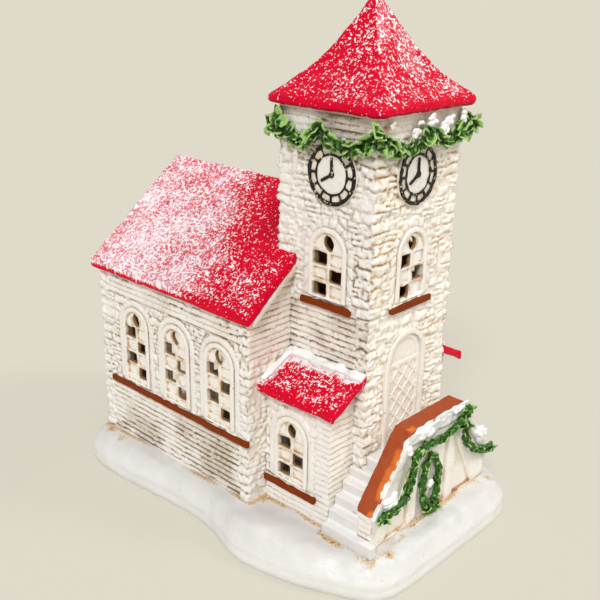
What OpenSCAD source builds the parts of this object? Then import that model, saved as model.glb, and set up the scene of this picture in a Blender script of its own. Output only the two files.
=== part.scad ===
// Ceramic village house, cast in separate pieces that are joined before glazing:
// a square clock tower with a door and a double stair, a gabled nave behind it,
// a lean-to annex on each side, red roofs, evergreen garlands and a snow base.
// A battery tea light goes in through an arch in the back wall and lights the windows.
// Millimetres, +Z up. The origin is on the table under the middle of the base.
// The door faces -Y. Heights of the building are measured from the snow.

/* [Snow base] */
// Height of the snow at the foot of the walls
base_h = 15; // [13:0.5:18]
// Height of the upright foot under the drift
foot_h = 5; // [4:0.5:6]
// Snow beside the nave at the widest place
snow_side = 15.4; // [14:0.1:18]
// Snow in front of the tower
snow_front = 28.7; // [27:0.1:34]
// Snow behind the nave
snow_back = 8.7; // [8:0.1:12]
// How far the drift slopes in from the foot to its flat top
drift_run = 7.2; // [6:0.2:8]
// Thickness of the deck that the walls stand on
deck_t = 5; // [4:0.5:6]
// Width of the foot rim round the hollow underside
rim_t = 8; // [7:0.5:10]

/* [Nave] */
// Width over the side walls
nave_w = 95.8; // [92:0.1:102]
// Length over the gable walls
nave_l = 95.6; // [90:0.1:105]
// Distance from the tower's front to the nave's front
nave_setback = 39; // [37:0.5:41]
// Height of the side walls
nave_h = 80.5; // [76:0.5:86]
// Slope of the roof in degrees
nave_pitch = 38; // [35:1:41]
// Thickness of the nave and tower walls
wall_t = 4; // [3.5:0.1:4.5]
// Thickness of the roof slabs
roof_t = 3; // [2.6:0.1:3.4]
// Overhang of the nave roof
roof_lap = 2.9; // [2.4:0.1:3.6]
// Height of the bargeboard under the sloping roof edge
barge_h = 3.2; // [2.4:0.2:4]

/* [Tower] */
// Width of the tower
tower_w = 50; // [47:0.5:53]
// Depth of the tower
tower_d = 46.5; // [46:0.1:49]
// Height of the tower walls
tower_h = 157.5; // [154:0.5:165]
// Overhang of the tower roof
tower_roof_lap = 4.1; // [3.7:0.1:4.4]
// Thickness of the roof's rounded edge
eave_t = 3.4; // [2.8:0.2:4]
// Rise of the roof above its edge
tower_roof_rise = 34.6; // [30:0.2:40]
// Width of the passage from the nave into the tower
passage_w = 26; // [20:1:30]
// Height of the passage up to the spring of its arch
passage_h = 34; // [28:1:40]

/* [Annexes] */
// Width of the left annex beside the tower
left_annex_w = 13.3; // [12:0.1:14.5]
// Width of the right annex beside the tower
right_annex_w = 9; // [8.5:0.1:10]
// Distance from the tower's front to the annexes' front
annex_setback = 5.1; // [4.4:0.1:6]
// Height of the annexes' outer walls
annex_h = 52; // [49:0.5:55]
// Slope of the annex roofs in degrees
annex_pitch = 28; // [25:1:31]
// Thickness of the annex walls
annex_wall_t = 3.5; // [3:0.1:4]
// Overhang of the annex roofs
annex_lap = 5.1; // [4.4:0.1:6]
// Width of the snow along the top of the annex roofs
roof_snow_w = 3; // [2.4:0.2:3.6]
// Thickness of that snow
roof_snow_t = 1.2; // [1:0.1:1.6]

/* [Windows] */
// Width of a nave window opening
nave_win_w = 14.6; // [13:0.2:16]
// Height of the nave windows' sill above the snow
nave_win_z = 29.5; // [28:0.5:32]
// Nave window height up to the spring of its arch
nave_win_h = 27; // [26:0.5:29]
// Distance from the nave's front corner to the first window's middle
nave_win_first = 17; // [16:0.5:19]
// Distance between the middles of the nave windows
nave_win_pitch = 26.9; // [25:0.1:28]
// Width of a tower window opening
tower_win_w = 15.2; // [14:0.2:16]
// Tower window height up to the spring of its arch
tower_win_h = 18.6; // [18:0.2:20]
// Width of an annex window opening
annex_win_w = 14.4; // [13:0.2:15]
// Height of the annex windows' sill above the snow
annex_win_z = 12; // [11.5:0.5:13]
// Annex window height up to the spring of its arch
annex_win_h = 20; // [19:0.5:22]
// Distance from the annex's front to its window's middle
annex_win_y = 20; // [18:0.5:21]
// Distance from one row of panes to the next
pane_pitch = 6.1; // [6:0.1:6.3]
// Height of a pane
pane_h = 4.9; // [4.6:0.1:5.1]
// Width of the bar between the panes
mullion_w = 1.4; // [1.2:0.1:1.8]
// Thickness of the pierced window panel
panel_t = 2; // [1.8:0.1:2.4]
// Depth of the blind panes
pocket_t = 0.8; // [0.6:0.1:1]
// Width of the raised moulding round a window
trim_w = 1.6; // [1.2:0.1:2]
// Height of that moulding
trim_t = 0.9; // [0.7:0.1:1.2]
// Height of a painted sill
sill_h = 2.6; // [2.2:0.1:3.2]
// How far a sill stands out
sill_t = 1.8; // [1.4:0.1:2.4]

/* [Masonry] */
// Height of a course of stones
course_h = 4; // [3.7:0.1:4.4]
// Length of a stone
stone_l = 8.5; // [7.5:0.1:9.5]
// Length of a stone at a corner
quoin_l = 6; // [5:0.1:7]
// Distance from one lapped row to the next
lap_pitch = 2.5; // [2.3:0.05:2.8]
// Width of the joints between stones
joint_w = 0.7; // [0.5:0.05:0.9]
// Depth of the joints and of the laps
joint_t = 0.5; // [0.4:0.05:0.6]
// Width of the ring of stones round a window
band_w = 2.9; // [2.4:0.1:3.2]

/* [Door and clocks] */
// Width of the door's arched recess
door_w = 20.4; // [19:0.2:22]
// Height of the door from the landing to the spring of its arch
door_h = 34.4; // [33:0.1:36]
// Depth of the recess
door_recess_t = 1.6; // [1.4:0.1:2]
// Width of the moulding round the door
door_trim_w = 2.2; // [1.8:0.1:2.6]
// Thickness of the door leaf
door_t = 1; // [0.8:0.1:1.2]
// Width of the bars of the door's lattice
lattice_w = 0.8; // [0.6:0.1:1]
// Radius of a clock
clock_r = 11.4; // [10.5:0.1:12]
// Thickness of a clock's white dial
dial_t = 1; // [0.8:0.1:1.2]
// Thickness of its black rings
mark_t = 0.6; // [0.5:0.1:0.8]
// Width of its outer black ring
rim_w = 1.8; // [1.6:0.1:2]
// Width of its other black lines
mark_w = 1.1; // [1:0.1:1.3]

/* [Stair] */
// Height of the landing
landing_h = 28; // [27:0.5:30]
// Width of the landing
landing_w = 46; // [44:0.5:48]
// Depth of the stair between the tower and its wall
stair_d = 9.6; // [9:0.1:11]
// Number of treads below the landing on each side
treads = 4; // [3:1:5]
// Height of the first step, and of the slab at the foot of the left flight
slab_h = 5; // [4:0.5:6]
// Width of that slab beside the stair wall
slab_w = 3.6; // [3:0.2:4]
// How far the slab reaches past the stair wall's front
slab_reach = 3.2; // [2.6:0.1:3.6]
// Thickness of the stair wall
stair_wall_t = 6.4; // [5.8:0.1:7]
// Width of the stair wall
stair_wall_w = 77.2; // [75:0.2:79]
// Height of the stair wall in the middle, with its coping
stair_wall_h = 43.1; // [42:0.1:45]
// Height of the stair wall at its ends, with its coping
stair_end_h = 16.7; // [16:0.1:18]
// Width of the level part of the coping
coping_flat_w = 35.3; // [34:0.1:37]
// Thickness of the coping
coping_t = 1.5; // [1.3:0.1:1.8]
// How far the coping stands out
coping_lap = 0.7; // [0.5:0.1:0.9]
// Width of the raised border under the coping
border_w = 4.6; // [4:0.1:5]
// Height of that border
border_t = 1.1; // [0.9:0.1:1.3]
// Depth of the panels in the stair wall
recess_t = 1.3; // [1:0.1:1.6]

/* [Greenery] */
// Radius of the tower garland
garland_r = 2.3; // [2:0.1:2.6]
// Distance from the tower's top down to the garland's fixings
garland_drop = 7.5; // [6.5:0.1:8.5]
// Droop of each swag
garland_droop = 4.4; // [4:0.1:5]
// Radius of the stair garland
strand_r = 2; // [1.8:0.1:2.2]
// Height of the wreath
wreath_h = 27; // [25:0.5:28]
// Width of the wreath
wreath_w = 14.4; // [13.6:0.2:15]

/* [Tea light] */
// Radius of the tea light
tea_r = 19; // [18.5:0.1:19.4]
// Height of its rim
tea_h = 17; // [16:0.2:18]
// Wall of its casing
tea_wall_t = 1.2; // [1:0.1:1.4]
// Height of the flame above the dish
flame_h = 19; // [16:0.5:21]
// Radius of the flame at its widest
flame_r = 4.6; // [4.2:0.1:5]
// Radius of the coin cell
cell_r = 10; // [9.8:0.1:10]
// Thickness of the coin cell
cell_h = 3.2; // [2.6:0.1:3.2]
// Travel of the switch
switch_travel = 2.4; // [2:0.1:2.8]
// Width of the arch in the back wall
arch_w = 46; // [44:0.5:48]
// Height of that arch up to its spring
arch_h = 24; // [22:0.5:28]

/* [Fits] */
// Running clearance between plastic parts
run_gap = 0.2; // [0.15:0.01:0.25]
// Clearance round an inset piece of ceramic
set_gap = 0.1; // [0.08:0.01:0.14]

/* [Hidden] */
$fn = 48;
cut = 1;
facet_fn = 8;

// Plan of the site: x is zero in the middle of the tower, y is zero at the tower's front
site_d = snow_front + nave_setback + nave_l + snow_back;
base_half_w = nave_w / 2 + snow_side;
nave_back = nave_setback + nave_l;
nave_half = nave_w / 2;
tower_half = tower_w / 2;
tower_mid = tower_d / 2;
top_z = tower_h + eave_t + tower_roof_rise;

// Left half of the base's outline, from the middle of the front to the middle of the back,
// as shares of half the width and of the depth
base_outline_shares = [
    [0, 0], [0.35, 0], [0.59, 0.006], [0.73, 0.035], [0.81, 0.09], [0.86, 0.13], [0.915, 0.18],
    [0.965, 0.25], [0.998, 0.33], [0.98, 0.385], [0.93, 0.44], [0.895, 0.5], [0.886, 0.57],
    [0.9, 0.66], [0.925, 0.75], [0.945, 0.85], [0.925, 0.93], [0.86, 0.98], [0.72, 0.998], [0.4, 1],
    [0, 1]];
// The drift's section: how far in, as a share of drift_run, at each share of its height
drift_shares = [[0.08, 0], [0.02, 0.12], [0.1, 0.36], [0.28, 0.64], [0.52, 0.86], [0.78, 0.97], [1, 1]];
outline_steps = 2;

// Roofs
nave_rise = nave_half * tan(nave_pitch);
nave_slab_z = roof_t / cos(nave_pitch);
annex_slab_z = roof_t / cos(annex_pitch);
nave_eave = nave_half + roof_lap;
// The tower roof's half width, as a share of the eave's, at each share of its rise
tower_roof_shares = [
    [0, 0.975], [0.1, 0.82], [0.24, 0.63], [0.46, 0.425], [0.7, 0.232], [0.9, 0.097], [1, 0.034]];
// The rounded edge: half width at each share of its thickness
eave_shares = [[0.975, 0], [1, 0.35], [0.995, 0.8]];
roof_corner_share = 0.12;
roof_mouth_share = 0.77;
roof_hollow_shares = [[0.33, 0.3], [0.7, 0.07]];

// Windows
stile_w = trim_w / 4;
nave_rows = 4;
side_rows = 3;
front_shift = -tower_w * 0.028;
left_shift = tower_d * 0.056;
clock_front_shift = -tower_w * 0.048;
clock_left_shift = tower_d * 0.087;
leaf_share = 0.66;
sill_past = tower_win_w * 0.3;

// Up the tower stand the door's moulding, a window with its sill, a clock and the garland.
// The wall between them is shared out below the window and below the clock.
door_top = landing_h + door_h + door_w / 2 + door_trim_w;
sill_drop = sill_h + trim_w / 2;
tower_win_rise = tower_win_h + tower_win_w / 2 + trim_w;
bare_wall = tower_h - door_top - sill_drop - tower_win_rise - 2 * clock_r;
bare_shares = [0.324, 0.296];
tower_win_z = door_top + bare_wall * bare_shares[0] + sill_drop;
clock_z = tower_win_z + tower_win_rise + bare_wall * bare_shares[1] + clock_r;
garland_z = tower_h - garland_drop;

// Masonry: the heights between which each wall has its laps or its stones
nave_sill_low = nave_win_z - trim_w / 2 - sill_h;
nave_stones_top = nave_win_z + nave_win_h + nave_win_w / 2 + trim_w + band_w + joint_w;
gable_low = nave_h - barge_h;
annex_roof_top = annex_h + left_annex_w * tan(annex_pitch) + annex_slab_z + roof_snow_t;
beside_nave_l = nave_setback - roof_lap;
beside_nave_top = nave_h + (nave_half - tower_half) * tan(nave_pitch) + nave_slab_z;
tower_stones_top = garland_z - garland_droop - 1.5 * garland_r;
tower_back_low = nave_h + nave_rise + nave_slab_z;
wing_w = nave_half - tower_half - max(left_annex_w, right_annex_w);
voussoir_turn = 20;

// Stair
wall_front = -stair_d - stair_wall_t;
tread_w = (stair_wall_w - landing_w) / 2 / treads;
riser_h = (landing_h - slab_h) / (treads + 1);
flat_half = coping_flat_w / 2;
rail_half = stair_wall_w / 2;
rail_slope = atan2(stair_wall_h - stair_end_h, rail_half - flat_half);
coping_drop = coping_t / cos(rail_slope);

// Greenery: routes over the stair wall's face, as shares of half its width and of its height
strand_shares = [
    [-0.96, 0.34], [-0.77, 0.35], [-0.6, 0.4], [-0.51, 0.53], [-0.45, 0.68], [-0.36, 0.79], [-0.2, 0.8],
    [0.02, 0.79], [0.17, 0.82], [0.29, 0.85], [0.4, 0.9], [0.5, 0.93]];
swag_shares = [[0.44, 0.79], [0.46, 0.66], [0.56, 0.52], [0.72, 0.42], [0.88, 0.37], [1, 0.36]];
wreath_x = -tower_w * 0.046;
wreath_z = stair_wall_h * 0.345;
swag_steps = 10;
anchor_swell = 1.5;
corner_share = 0.75;
no_clock = 9;
garland_back = set_gap;
clock_back = dial_t + mark_t + set_gap;
strand_back = border_t + set_gap;

// Tea light: heights above the snow, with the coin cell over its cover
tea_y = nave_setback + nave_l * 0.62;
tray_t = 1.6;
cover_t = 1.3;
cover_lift = 0.3;
lug_t = 0.8;
lug_w = 4;
lug_reach = 1.3;
well_gap = 0.4;
well_t = 1.2;
board_t = 1;
contact_t = 0.9;
spring_t = 0.3;
contact_w = 3;
dish_t = 1.5;
dish_drop = 2;
led_r = 1.5;
led_h = 4;
lead_r = 0.25;
lead_gap = 0.6;
led_lift = 1.5;
bore_r = led_r + 2 * run_gap;
cover_r = cell_r + 2 * run_gap + spring_t + run_gap;
well_r = cover_r + lug_reach + well_gap;
cover_top = cover_lift + cover_t + lug_t + run_gap;
cell_top = cover_top + run_gap + cell_h;
board_z = cell_top + contact_t;
dish_z = tea_h - dish_drop;
knob_l = 3;
knob_w = 1.7;
slider_t = 0.8;
slider_edge = 1.1;
switch_y = -(well_r + well_t + tea_r - tea_wall_t) / 2;
foot_r = flame_r * 0.85;
twist_angle = 45;

// Colours
glaze = "#f3efe4";
snow = "#f6f7f8";
roof_red = "#d8112b";
sill_brown = "#8f3512";
coping_brown = "#a9512c";
leaf_green = "#3f7d35";
paint_black = "#17130f";
wax = "#f2ead6";

// Puts the building on the base's deck
module site() {
    translate([0, snow_front - site_d / 2, base_h]) children();
}

// A piece drawn flat, x to the right and y up, is set on a wall that faces -Y, -X, +X or +Y
module on_front(x, y) { translate([x, y, 0]) rotate([90, 0, 0]) children(); }
module on_left(x, y) { translate([x, y, 0]) rotate([90, 0, -90]) children(); }
module on_right(x, y) { translate([x, y, 0]) rotate([90, 0, 90]) children(); }
module on_back(x, y) { translate([x, y, 0]) rotate([90, 0, 180]) children(); }

// Smooth line through a list of points
function wrap(i, n) = (i % n + n) % n;
function pick(p, i, closed) = closed ? p[wrap(i, len(p))] : p[max(0, min(len(p) - 1, i))];
function bend(a, b, c, d, t) =
    (2 * b + (c - a) * t + (2 * a - 5 * b + 4 * c - d) * t * t + (3 * b - a - 3 * c + d) * t * t * t) / 2;
function smooth_line(p, n, closed) = concat(
    [for (i = [0:len(p) - (closed ? 1 : 2)], k = [0:n - 1])
        let (near = [for (j = [-1:2]) pick(p, i + j, closed)])
        bend(near[0], near[1], near[2], near[3], k / n)],
    closed ? [] : [p[len(p) - 1]]);

// Skin over a list of rings of points, each ring anticlockwise as the next one sees it;
// a closed row of rings has no ends
module loft(rings, closed = false) {
    n = len(rings[0]);
    m = len(rings);
    points = [for (ring = rings, p = ring) p];
    sides = [for (j = [0:m - (closed ? 1 : 2)], i = [0:n - 1], half = [0, 1])
        let (
            next = (i + 1) % n,
            above = (j + 1) % m,
            a = j * n + i, b = j * n + next, c = above * n + next, d = above * n + i)
        half == 0 ? [a, c, b] : [a, d, c]];
    ends = closed ? [] : [[for (i = [0:n - 1]) i], [for (i = [n - 1:-1:0]) (m - 1) * n + i]];
    polyhedron(points, concat(sides, ends), convexity = 10);
}

// Outline of the base, drawn in by a distance
function base_corner(q, side, inset) =
    [side * q[0] * (base_half_w - inset), (q[1] - 0.5) * (site_d - 2 * inset)];
base_last = len(base_outline_shares) - 1;
function base_corners(inset) = concat(
    [for (i = [0:base_last]) base_corner(base_outline_shares[i], 1, inset)],
    [for (i = [base_last - 1:-1:1]) base_corner(base_outline_shares[i], -1, inset)]);
function base_line(inset) = smooth_line(base_corners(inset), outline_steps, true);
function base_ring(inset, z) = [for (p = base_line(inset)) [p[0], p[1], z]];

// The snow base, hollow underneath, with a foot rim that it stands on
module snow_base() color(snow) difference() {
    loft(concat(
        [base_ring(drift_run * 0.06, 0), base_ring(0, foot_h * 0.3)],
        [for (s = drift_shares) base_ring(drift_run * s[0], foot_h + (base_h - foot_h) * s[1])]));
    translate([0, 0, -cut]) linear_extrude(base_h - deck_t + cut) polygon(base_line(rim_t));
}

// A wall with a round arched top, drawn flat
module arch(w, h) {
    translate([-w / 2, 0]) square([w, h]);
    translate([0, h]) circle(d = w);
}

// A leaf-shaped hole, pointed at both ends
module leaf(l) {
    r = l * 0.68;
    intersection() {
        translate([-r * 0.35, 0]) circle(r);
        translate([r * 0.35, 0]) circle(r);
    }
}

// A pierced window in two columns of panes, open and blind in turn, with one leaf in the arch
module window(w, h, rows) {
    pane_w = (w - 2 * stile_w - mullion_w) / 2;
    difference() {
        union() {
            translate([0, 0, -panel_t]) linear_extrude(panel_t) arch(w - 2 * set_gap, h);
            linear_extrude(trim_t) arch(w + 2 * trim_w, h);
        }
        linear_extrude(trim_t + cut) translate([0, stile_w]) arch(w - 2 * stile_w, h - stile_w);
        for (i = [0:rows - 1], side = [0, 1])
            let (depth = (i + side) % 2 == 0 ? panel_t + cut : pocket_t)
            translate([
                side == 0 ? -mullion_w / 2 - pane_w : mullion_w / 2,
                h - mullion_w / 2 - pane_h - i * pane_pitch, -depth])
                cube([pane_w, pane_h, depth + cut]);
        translate([0, h + w * 0.2, -panel_t - cut]) linear_extrude(panel_t + 2 * cut)
            rotate(20) leaf(w * leaf_share / 2);
    }
}

module window_hole(w, h) { translate([0, 0, -2 * wall_t]) linear_extrude(3 * wall_t) arch(w, h); }

// Masonry is engraved in a wall's face and drawn like what is set on it. Courses are counted from
// the snow, so that the joints meet round a corner.
module engraved() { translate([0, 0, -joint_t]) linear_extrude(joint_t + cut) children(); }
function courses(z0, z1) = [ceil((z0 + joint_w) / course_h):floor((z1 - joint_w) / course_h)];
function stagger_share(row, k) = 0.5 * (row % 2) + 0.2 * sin(row * 131 + k * 77);
module bed_joints(x0, x1, z0, z1) {
    for (row = courses(z0, z1)) translate([x0, row * course_h - joint_w / 2]) square([x1 - x0, joint_w]);
}
module cross_joint(x, z0, z1) { translate([x - joint_w / 2, z0]) square([joint_w, z1 - z0]); }
module stones(x0, x1, z0, z1) {
    bed_joints(x0, x1, z0, z1);
    first = floor(x0 / stone_l);
    for (row = courses(z0, z1 - course_h), k = [first:ceil(x1 / stone_l)])
        let (x = (k + stagger_share(row, k)) * stone_l)
        if (x > x0 + quoin_l / 2 && x < x1 - quoin_l / 2)
            cross_joint(x, row * course_h, (row + 1) * course_h);
}

// A wall with a column of corner stones at each end
module stones_between_quoins(x0, x1, z0, z1) {
    stones(x0 + quoin_l, x1 - quoin_l, z0, z1);
    quoins(x0, x1, z0, z1);
}
module quoins(x0, x1, z0, z1) {
    bed_joints(x0, x0 + quoin_l, z0, z1);
    bed_joints(x1 - quoin_l, x1, z0, z1);
    cross_joint(x0 + quoin_l, z0, z1);
    cross_joint(x1 - quoin_l, z0, z1);
}

// Lapped rows, each flush with the wall at its foot and set back at its head
module laps(x0, x1, z0, z1) {
    rows = floor((z1 - z0) / lap_pitch);
    translate([x0, z0, 0]) rotate([0, 90, 0]) linear_extrude(x1 - x0) polygon(concat(
        [[-cut, 0]],
        [for (i = [0:rows - 1], p = [[0, i], [joint_t, i + 1]]) [p[0], p[1] * lap_pitch]],
        [[-cut, rows * lap_pitch]]));
}

// Room for a window, its ring of stones and its sill, and the joint round the ring
module window_room(w, h) {
    arch(w + 2 * (trim_w + band_w), h);
    translate([-w / 2 - sill_past, -sill_drop]) square([w + 2 * sill_past, sill_drop + trim_w]);
}
module ring_joint(w, h) {
    difference() {
        arch(w + 2 * (trim_w + band_w + joint_w), h);
        arch(w + 2 * (trim_w + band_w), h);
        translate([-w, -cut]) square([2 * w, cut + trim_w]);
    }
}
module ring_stones(w, h) {
    ring_joint(w, h);
    for (a = [voussoir_turn / 2:voussoir_turn:180]) translate([0, h]) rotate(a)
        translate([w / 2 + trim_w, -joint_w / 2]) square([band_w + joint_w, joint_w]);
}

// The nave is a long room under a gable roof
module gable(half_w, h, rise, y0, y1) {
    translate([0, y1, 0]) rotate([90, 0, 0]) linear_extrude(y1 - y0)
        polygon([[-half_w, 0], [half_w, 0], [half_w, h], [0, h + rise], [-half_w, h]]);
}

// Places of the nave's windows along its side
function nave_window_y(i) = nave_setback + nave_win_first + i * nave_win_pitch;
nave_window_count = 3;

module at_nave_windows() {
    for (i = [0:nave_window_count - 1]) {
        on_left(-nave_half, nave_window_y(i)) translate([0, nave_win_z, 0]) children();
        on_right(nave_half, nave_window_y(i)) translate([0, nave_win_z, 0]) children();
    }
}

module tower_block(grow) {
    translate([-tower_half, -cut, -cut]) cube([tower_w, tower_d + cut + grow, tower_h + 2 * cut]);
}

// Laps under the sill and under the eaves, and stones round the windows
module along_nave_side() {
    for (i = [0:nave_window_count - 1])
        translate([nave_win_first + i * nave_win_pitch, nave_win_z]) children();
}
module nave_side_masonry() {
    laps(quoin_l, nave_l - quoin_l, 0, nave_sill_low);
    laps(quoin_l, nave_l - quoin_l, nave_stones_top, nave_h);
    engraved() {
        difference() {
            union() {
                stones(quoin_l, nave_l - quoin_l, nave_win_z, nave_stones_top);
                quoins(0, nave_l, 0, nave_h);
            }
            along_nave_side() window_room(nave_win_w, nave_win_h);
            translate([0, nave_sill_low]) square([nave_l, sill_drop]);
        }
        along_nave_side() ring_joint(nave_win_w, nave_win_h);
    }
}

// The part of a gable that shows under the bargeboards
module gable_face() {
    low_half = nave_half - barge_h / tan(nave_pitch);
    polygon([[-low_half, nave_h], [low_half, nave_h], [0, nave_h + nave_rise - barge_h]]);
    translate([-nave_half, 0]) square([nave_w, gable_low]);
}
module gable_laps(z0) {
    intersection() {
        laps(-nave_half, nave_half, z0, nave_h + nave_rise);
        translate([0, 0, -cut]) linear_extrude(2 * cut) gable_face();
    }
}
module nave_back_masonry() {
    gable_laps(nave_h);
    engraved() difference() {
        stones_between_quoins(-nave_half, nave_half, 0, gable_low);
        arch(arch_w + 2 * band_w, arch_h);
    }
}
module nave_front_masonry() {
    gable_laps(annex_roof_top);
    engraved() for (side = [0, 1]) mirror([side, 0])
        bed_joints(-nave_half, -nave_half + wing_w, 0, annex_h - annex_lap);
}

module nave_walls() color(glaze) site() difference() {
    gable(nave_half, nave_h, nave_rise, nave_setback, nave_back);
    on_right(nave_half, nave_setback) nave_side_masonry();
    on_left(-nave_half, nave_setback) mirror([1, 0, 0]) nave_side_masonry();
    on_back(0, nave_back) nave_back_masonry();
    on_front(0, nave_setback) nave_front_masonry();
    translate([wall_t - nave_half, nave_setback + wall_t, -cut])
        cube([nave_w - 2 * wall_t, nave_l - 2 * wall_t, nave_h + nave_rise + 2 * cut]);
    tower_block(0);
    at_nave_windows() window_hole(nave_win_w, nave_win_h);
    on_back(0, nave_back) translate([0, -cut, -2 * wall_t])
        linear_extrude(3 * wall_t) arch(arch_w, arch_h + cut);
}

module nave_windows() color(glaze) site() at_nave_windows() window(nave_win_w, nave_win_h, nave_rows);

// A sill runs under all three windows of a side
nave_sill_l = 2 * nave_win_pitch + 2.4 * nave_win_w;
module sill(l) { translate([-l / 2, -sill_h, 0]) cube([l, sill_h, sill_t]); }
module nave_sills() color(sill_brown) site() {
    z = nave_win_z - trim_w / 2;
    on_left(-nave_half, nave_window_y(1)) translate([0, z, 0]) sill(nave_sill_l);
    on_right(nave_half, nave_window_y(1)) translate([0, z, 0]) sill(nave_sill_l);
}

// Underside of the nave roof at a distance from the middle
function nave_roof_z(x) = nave_h + (nave_half - x) * tan(nave_pitch);

module nave_slopes(y0, y1, t, out) {
    low = nave_roof_z(out);
    high = nave_roof_z(0);
    translate([0, y1, 0]) rotate([90, 0, 0]) linear_extrude(y1 - y0)
        polygon([[-out, low], [0, high], [out, low], [out, low + t], [0, high + t], [-out, low + t]]);
}

// Room round the tower's top for its garland, kept clear where the tower is low beside the ridge
module garland_room() {
    reach = clock_back + 3 * garland_r * anchor_swell;
    low = garland_z - garland_droop - reach;
    translate([-tower_half - reach, -reach, low])
        cube([tower_w + 2 * reach, tower_d + 2 * reach, tower_h - low + cut]);
}

module nave_roof() color(roof_red) site() difference() {
    nave_slopes(nave_setback - roof_lap, nave_back + roof_lap, nave_slab_z, nave_eave);
    tower_block(0);
    garland_room();
}

// Cream boards under the sloping edges, between the gable walls and the roof's edge
module bargeboards() color(glaze) site() difference() {
    union() {
        translate([0, 0, -barge_h]) {
            nave_slopes(nave_setback - roof_lap, nave_setback, barge_h, nave_half);
            nave_slopes(nave_back, nave_back + roof_lap, barge_h, nave_half);
        }
    }
    tower_block(0);
}

// The tower is a square shaft, open to the nave through an arch at its foot
module at_tower_faces(z, across = front_shift, forward = left_shift) {
    on_front(across, 0) translate([0, z, 0]) children();
    on_left(-tower_half, tower_mid - forward) translate([0, z, 0]) children();
    on_right(tower_half, tower_mid - forward) translate([0, z, 0]) children();
}

// Room for a tower window with its sill, and for the clock above it
module tower_rooms(window_x, clock_x) {
    translate([window_x, tower_win_z]) window_room(tower_win_w, tower_win_h);
    translate([clock_x, clock_z]) circle(clock_r + joint_w);
}
module tower_front_masonry() engraved() {
    difference() {
        stones_between_quoins(-tower_half, tower_half, landing_h, tower_stones_top);
        tower_rooms(front_shift, clock_front_shift);
        translate([front_shift, landing_h - cut]) arch(door_w + 2 * door_trim_w, door_h + cut);
    }
    translate([front_shift, tower_win_z]) ring_stones(tower_win_w, tower_win_h);
}

// Beside the annexes and the nave, a side of the tower has laps up to its sill and stones above
module tower_side_masonry() {
    x = tower_mid - left_shift;
    laps(quoin_l, beside_nave_l, annex_roof_top, tower_win_z - sill_drop);
    engraved() {
        bed_joints(0, annex_setback, landing_h, annex_h);
        bed_joints(0, quoin_l, annex_roof_top, tower_win_z);
        difference() {
            union() {
                stones(0, beside_nave_l, tower_win_z, beside_nave_top);
                stones(0, tower_d, beside_nave_top, tower_stones_top);
                cross_joint(quoin_l, tower_win_z, tower_stones_top);
            }
            tower_rooms(x, tower_mid - clock_left_shift);
        }
        translate([x, tower_win_z]) ring_stones(tower_win_w, tower_win_h);
    }
}

module tower_walls() color(glaze) site() difference() {
    translate([-tower_half, 0, 0]) cube([tower_w, tower_d, tower_h]);
    on_front(0, 0) tower_front_masonry();
    on_right(tower_half, 0) tower_side_masonry();
    on_left(-tower_half, 0) mirror([1, 0, 0]) tower_side_masonry();
    on_back(0, tower_d) engraved()
        stones_between_quoins(-tower_half, tower_half, tower_back_low, tower_stones_top);
    translate([wall_t - tower_half, wall_t, -cut])
        cube([tower_w - 2 * wall_t, tower_d - 2 * wall_t, tower_h + 2 * cut]);
    at_tower_faces(tower_win_z) window_hole(tower_win_w, tower_win_h);
    on_back(0, tower_d) translate([0, -cut, -2 * wall_t])
        linear_extrude(3 * wall_t) arch(passage_w, passage_h + cut);
    on_front(front_shift, 0) translate([0, landing_h, -door_recess_t])
        linear_extrude(door_recess_t + cut) arch(door_w, door_h);
}

module tower_windows() color(glaze) site()
    at_tower_faces(tower_win_z) window(tower_win_w, tower_win_h, side_rows);

module tower_sills() color(sill_brown) site()
    at_tower_faces(tower_win_z - trim_w / 2) sill(tower_win_w + 2 * sill_past);

// Bell-cast pyramid with a thick rounded edge, hollow inside
function roof_ring(half_x, half_y, z, r) = [
    for (q = [[1, -1, -90], [1, 1, 0], [-1, 1, 90], [-1, -1, 180]], a = [0:30:90])
        [q[0] * (half_x - r) + r * cos(q[2] + a), tower_mid + q[1] * (half_y - r) + r * sin(q[2] + a), z]];
function roof_level(share, z) = roof_ring(
    (tower_half + tower_roof_lap) * share, (tower_mid + tower_roof_lap) * share, z,
    tower_half * roof_corner_share * share);
module tower_roof() color(roof_red) site() difference() {
    loft(concat(
        [for (s = eave_shares) roof_level(s[0], tower_h + eave_t * s[1])],
        [for (s = tower_roof_shares) roof_level(s[1], tower_h + eave_t + tower_roof_rise * s[0])]));
    loft(concat(
        [roof_level(roof_mouth_share, tower_h - cut), roof_level(roof_mouth_share, tower_h + eave_t * 0.3)],
        [for (s = roof_hollow_shares) roof_level(s[1], tower_h + eave_t + tower_roof_rise * s[0])]));
}

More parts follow.
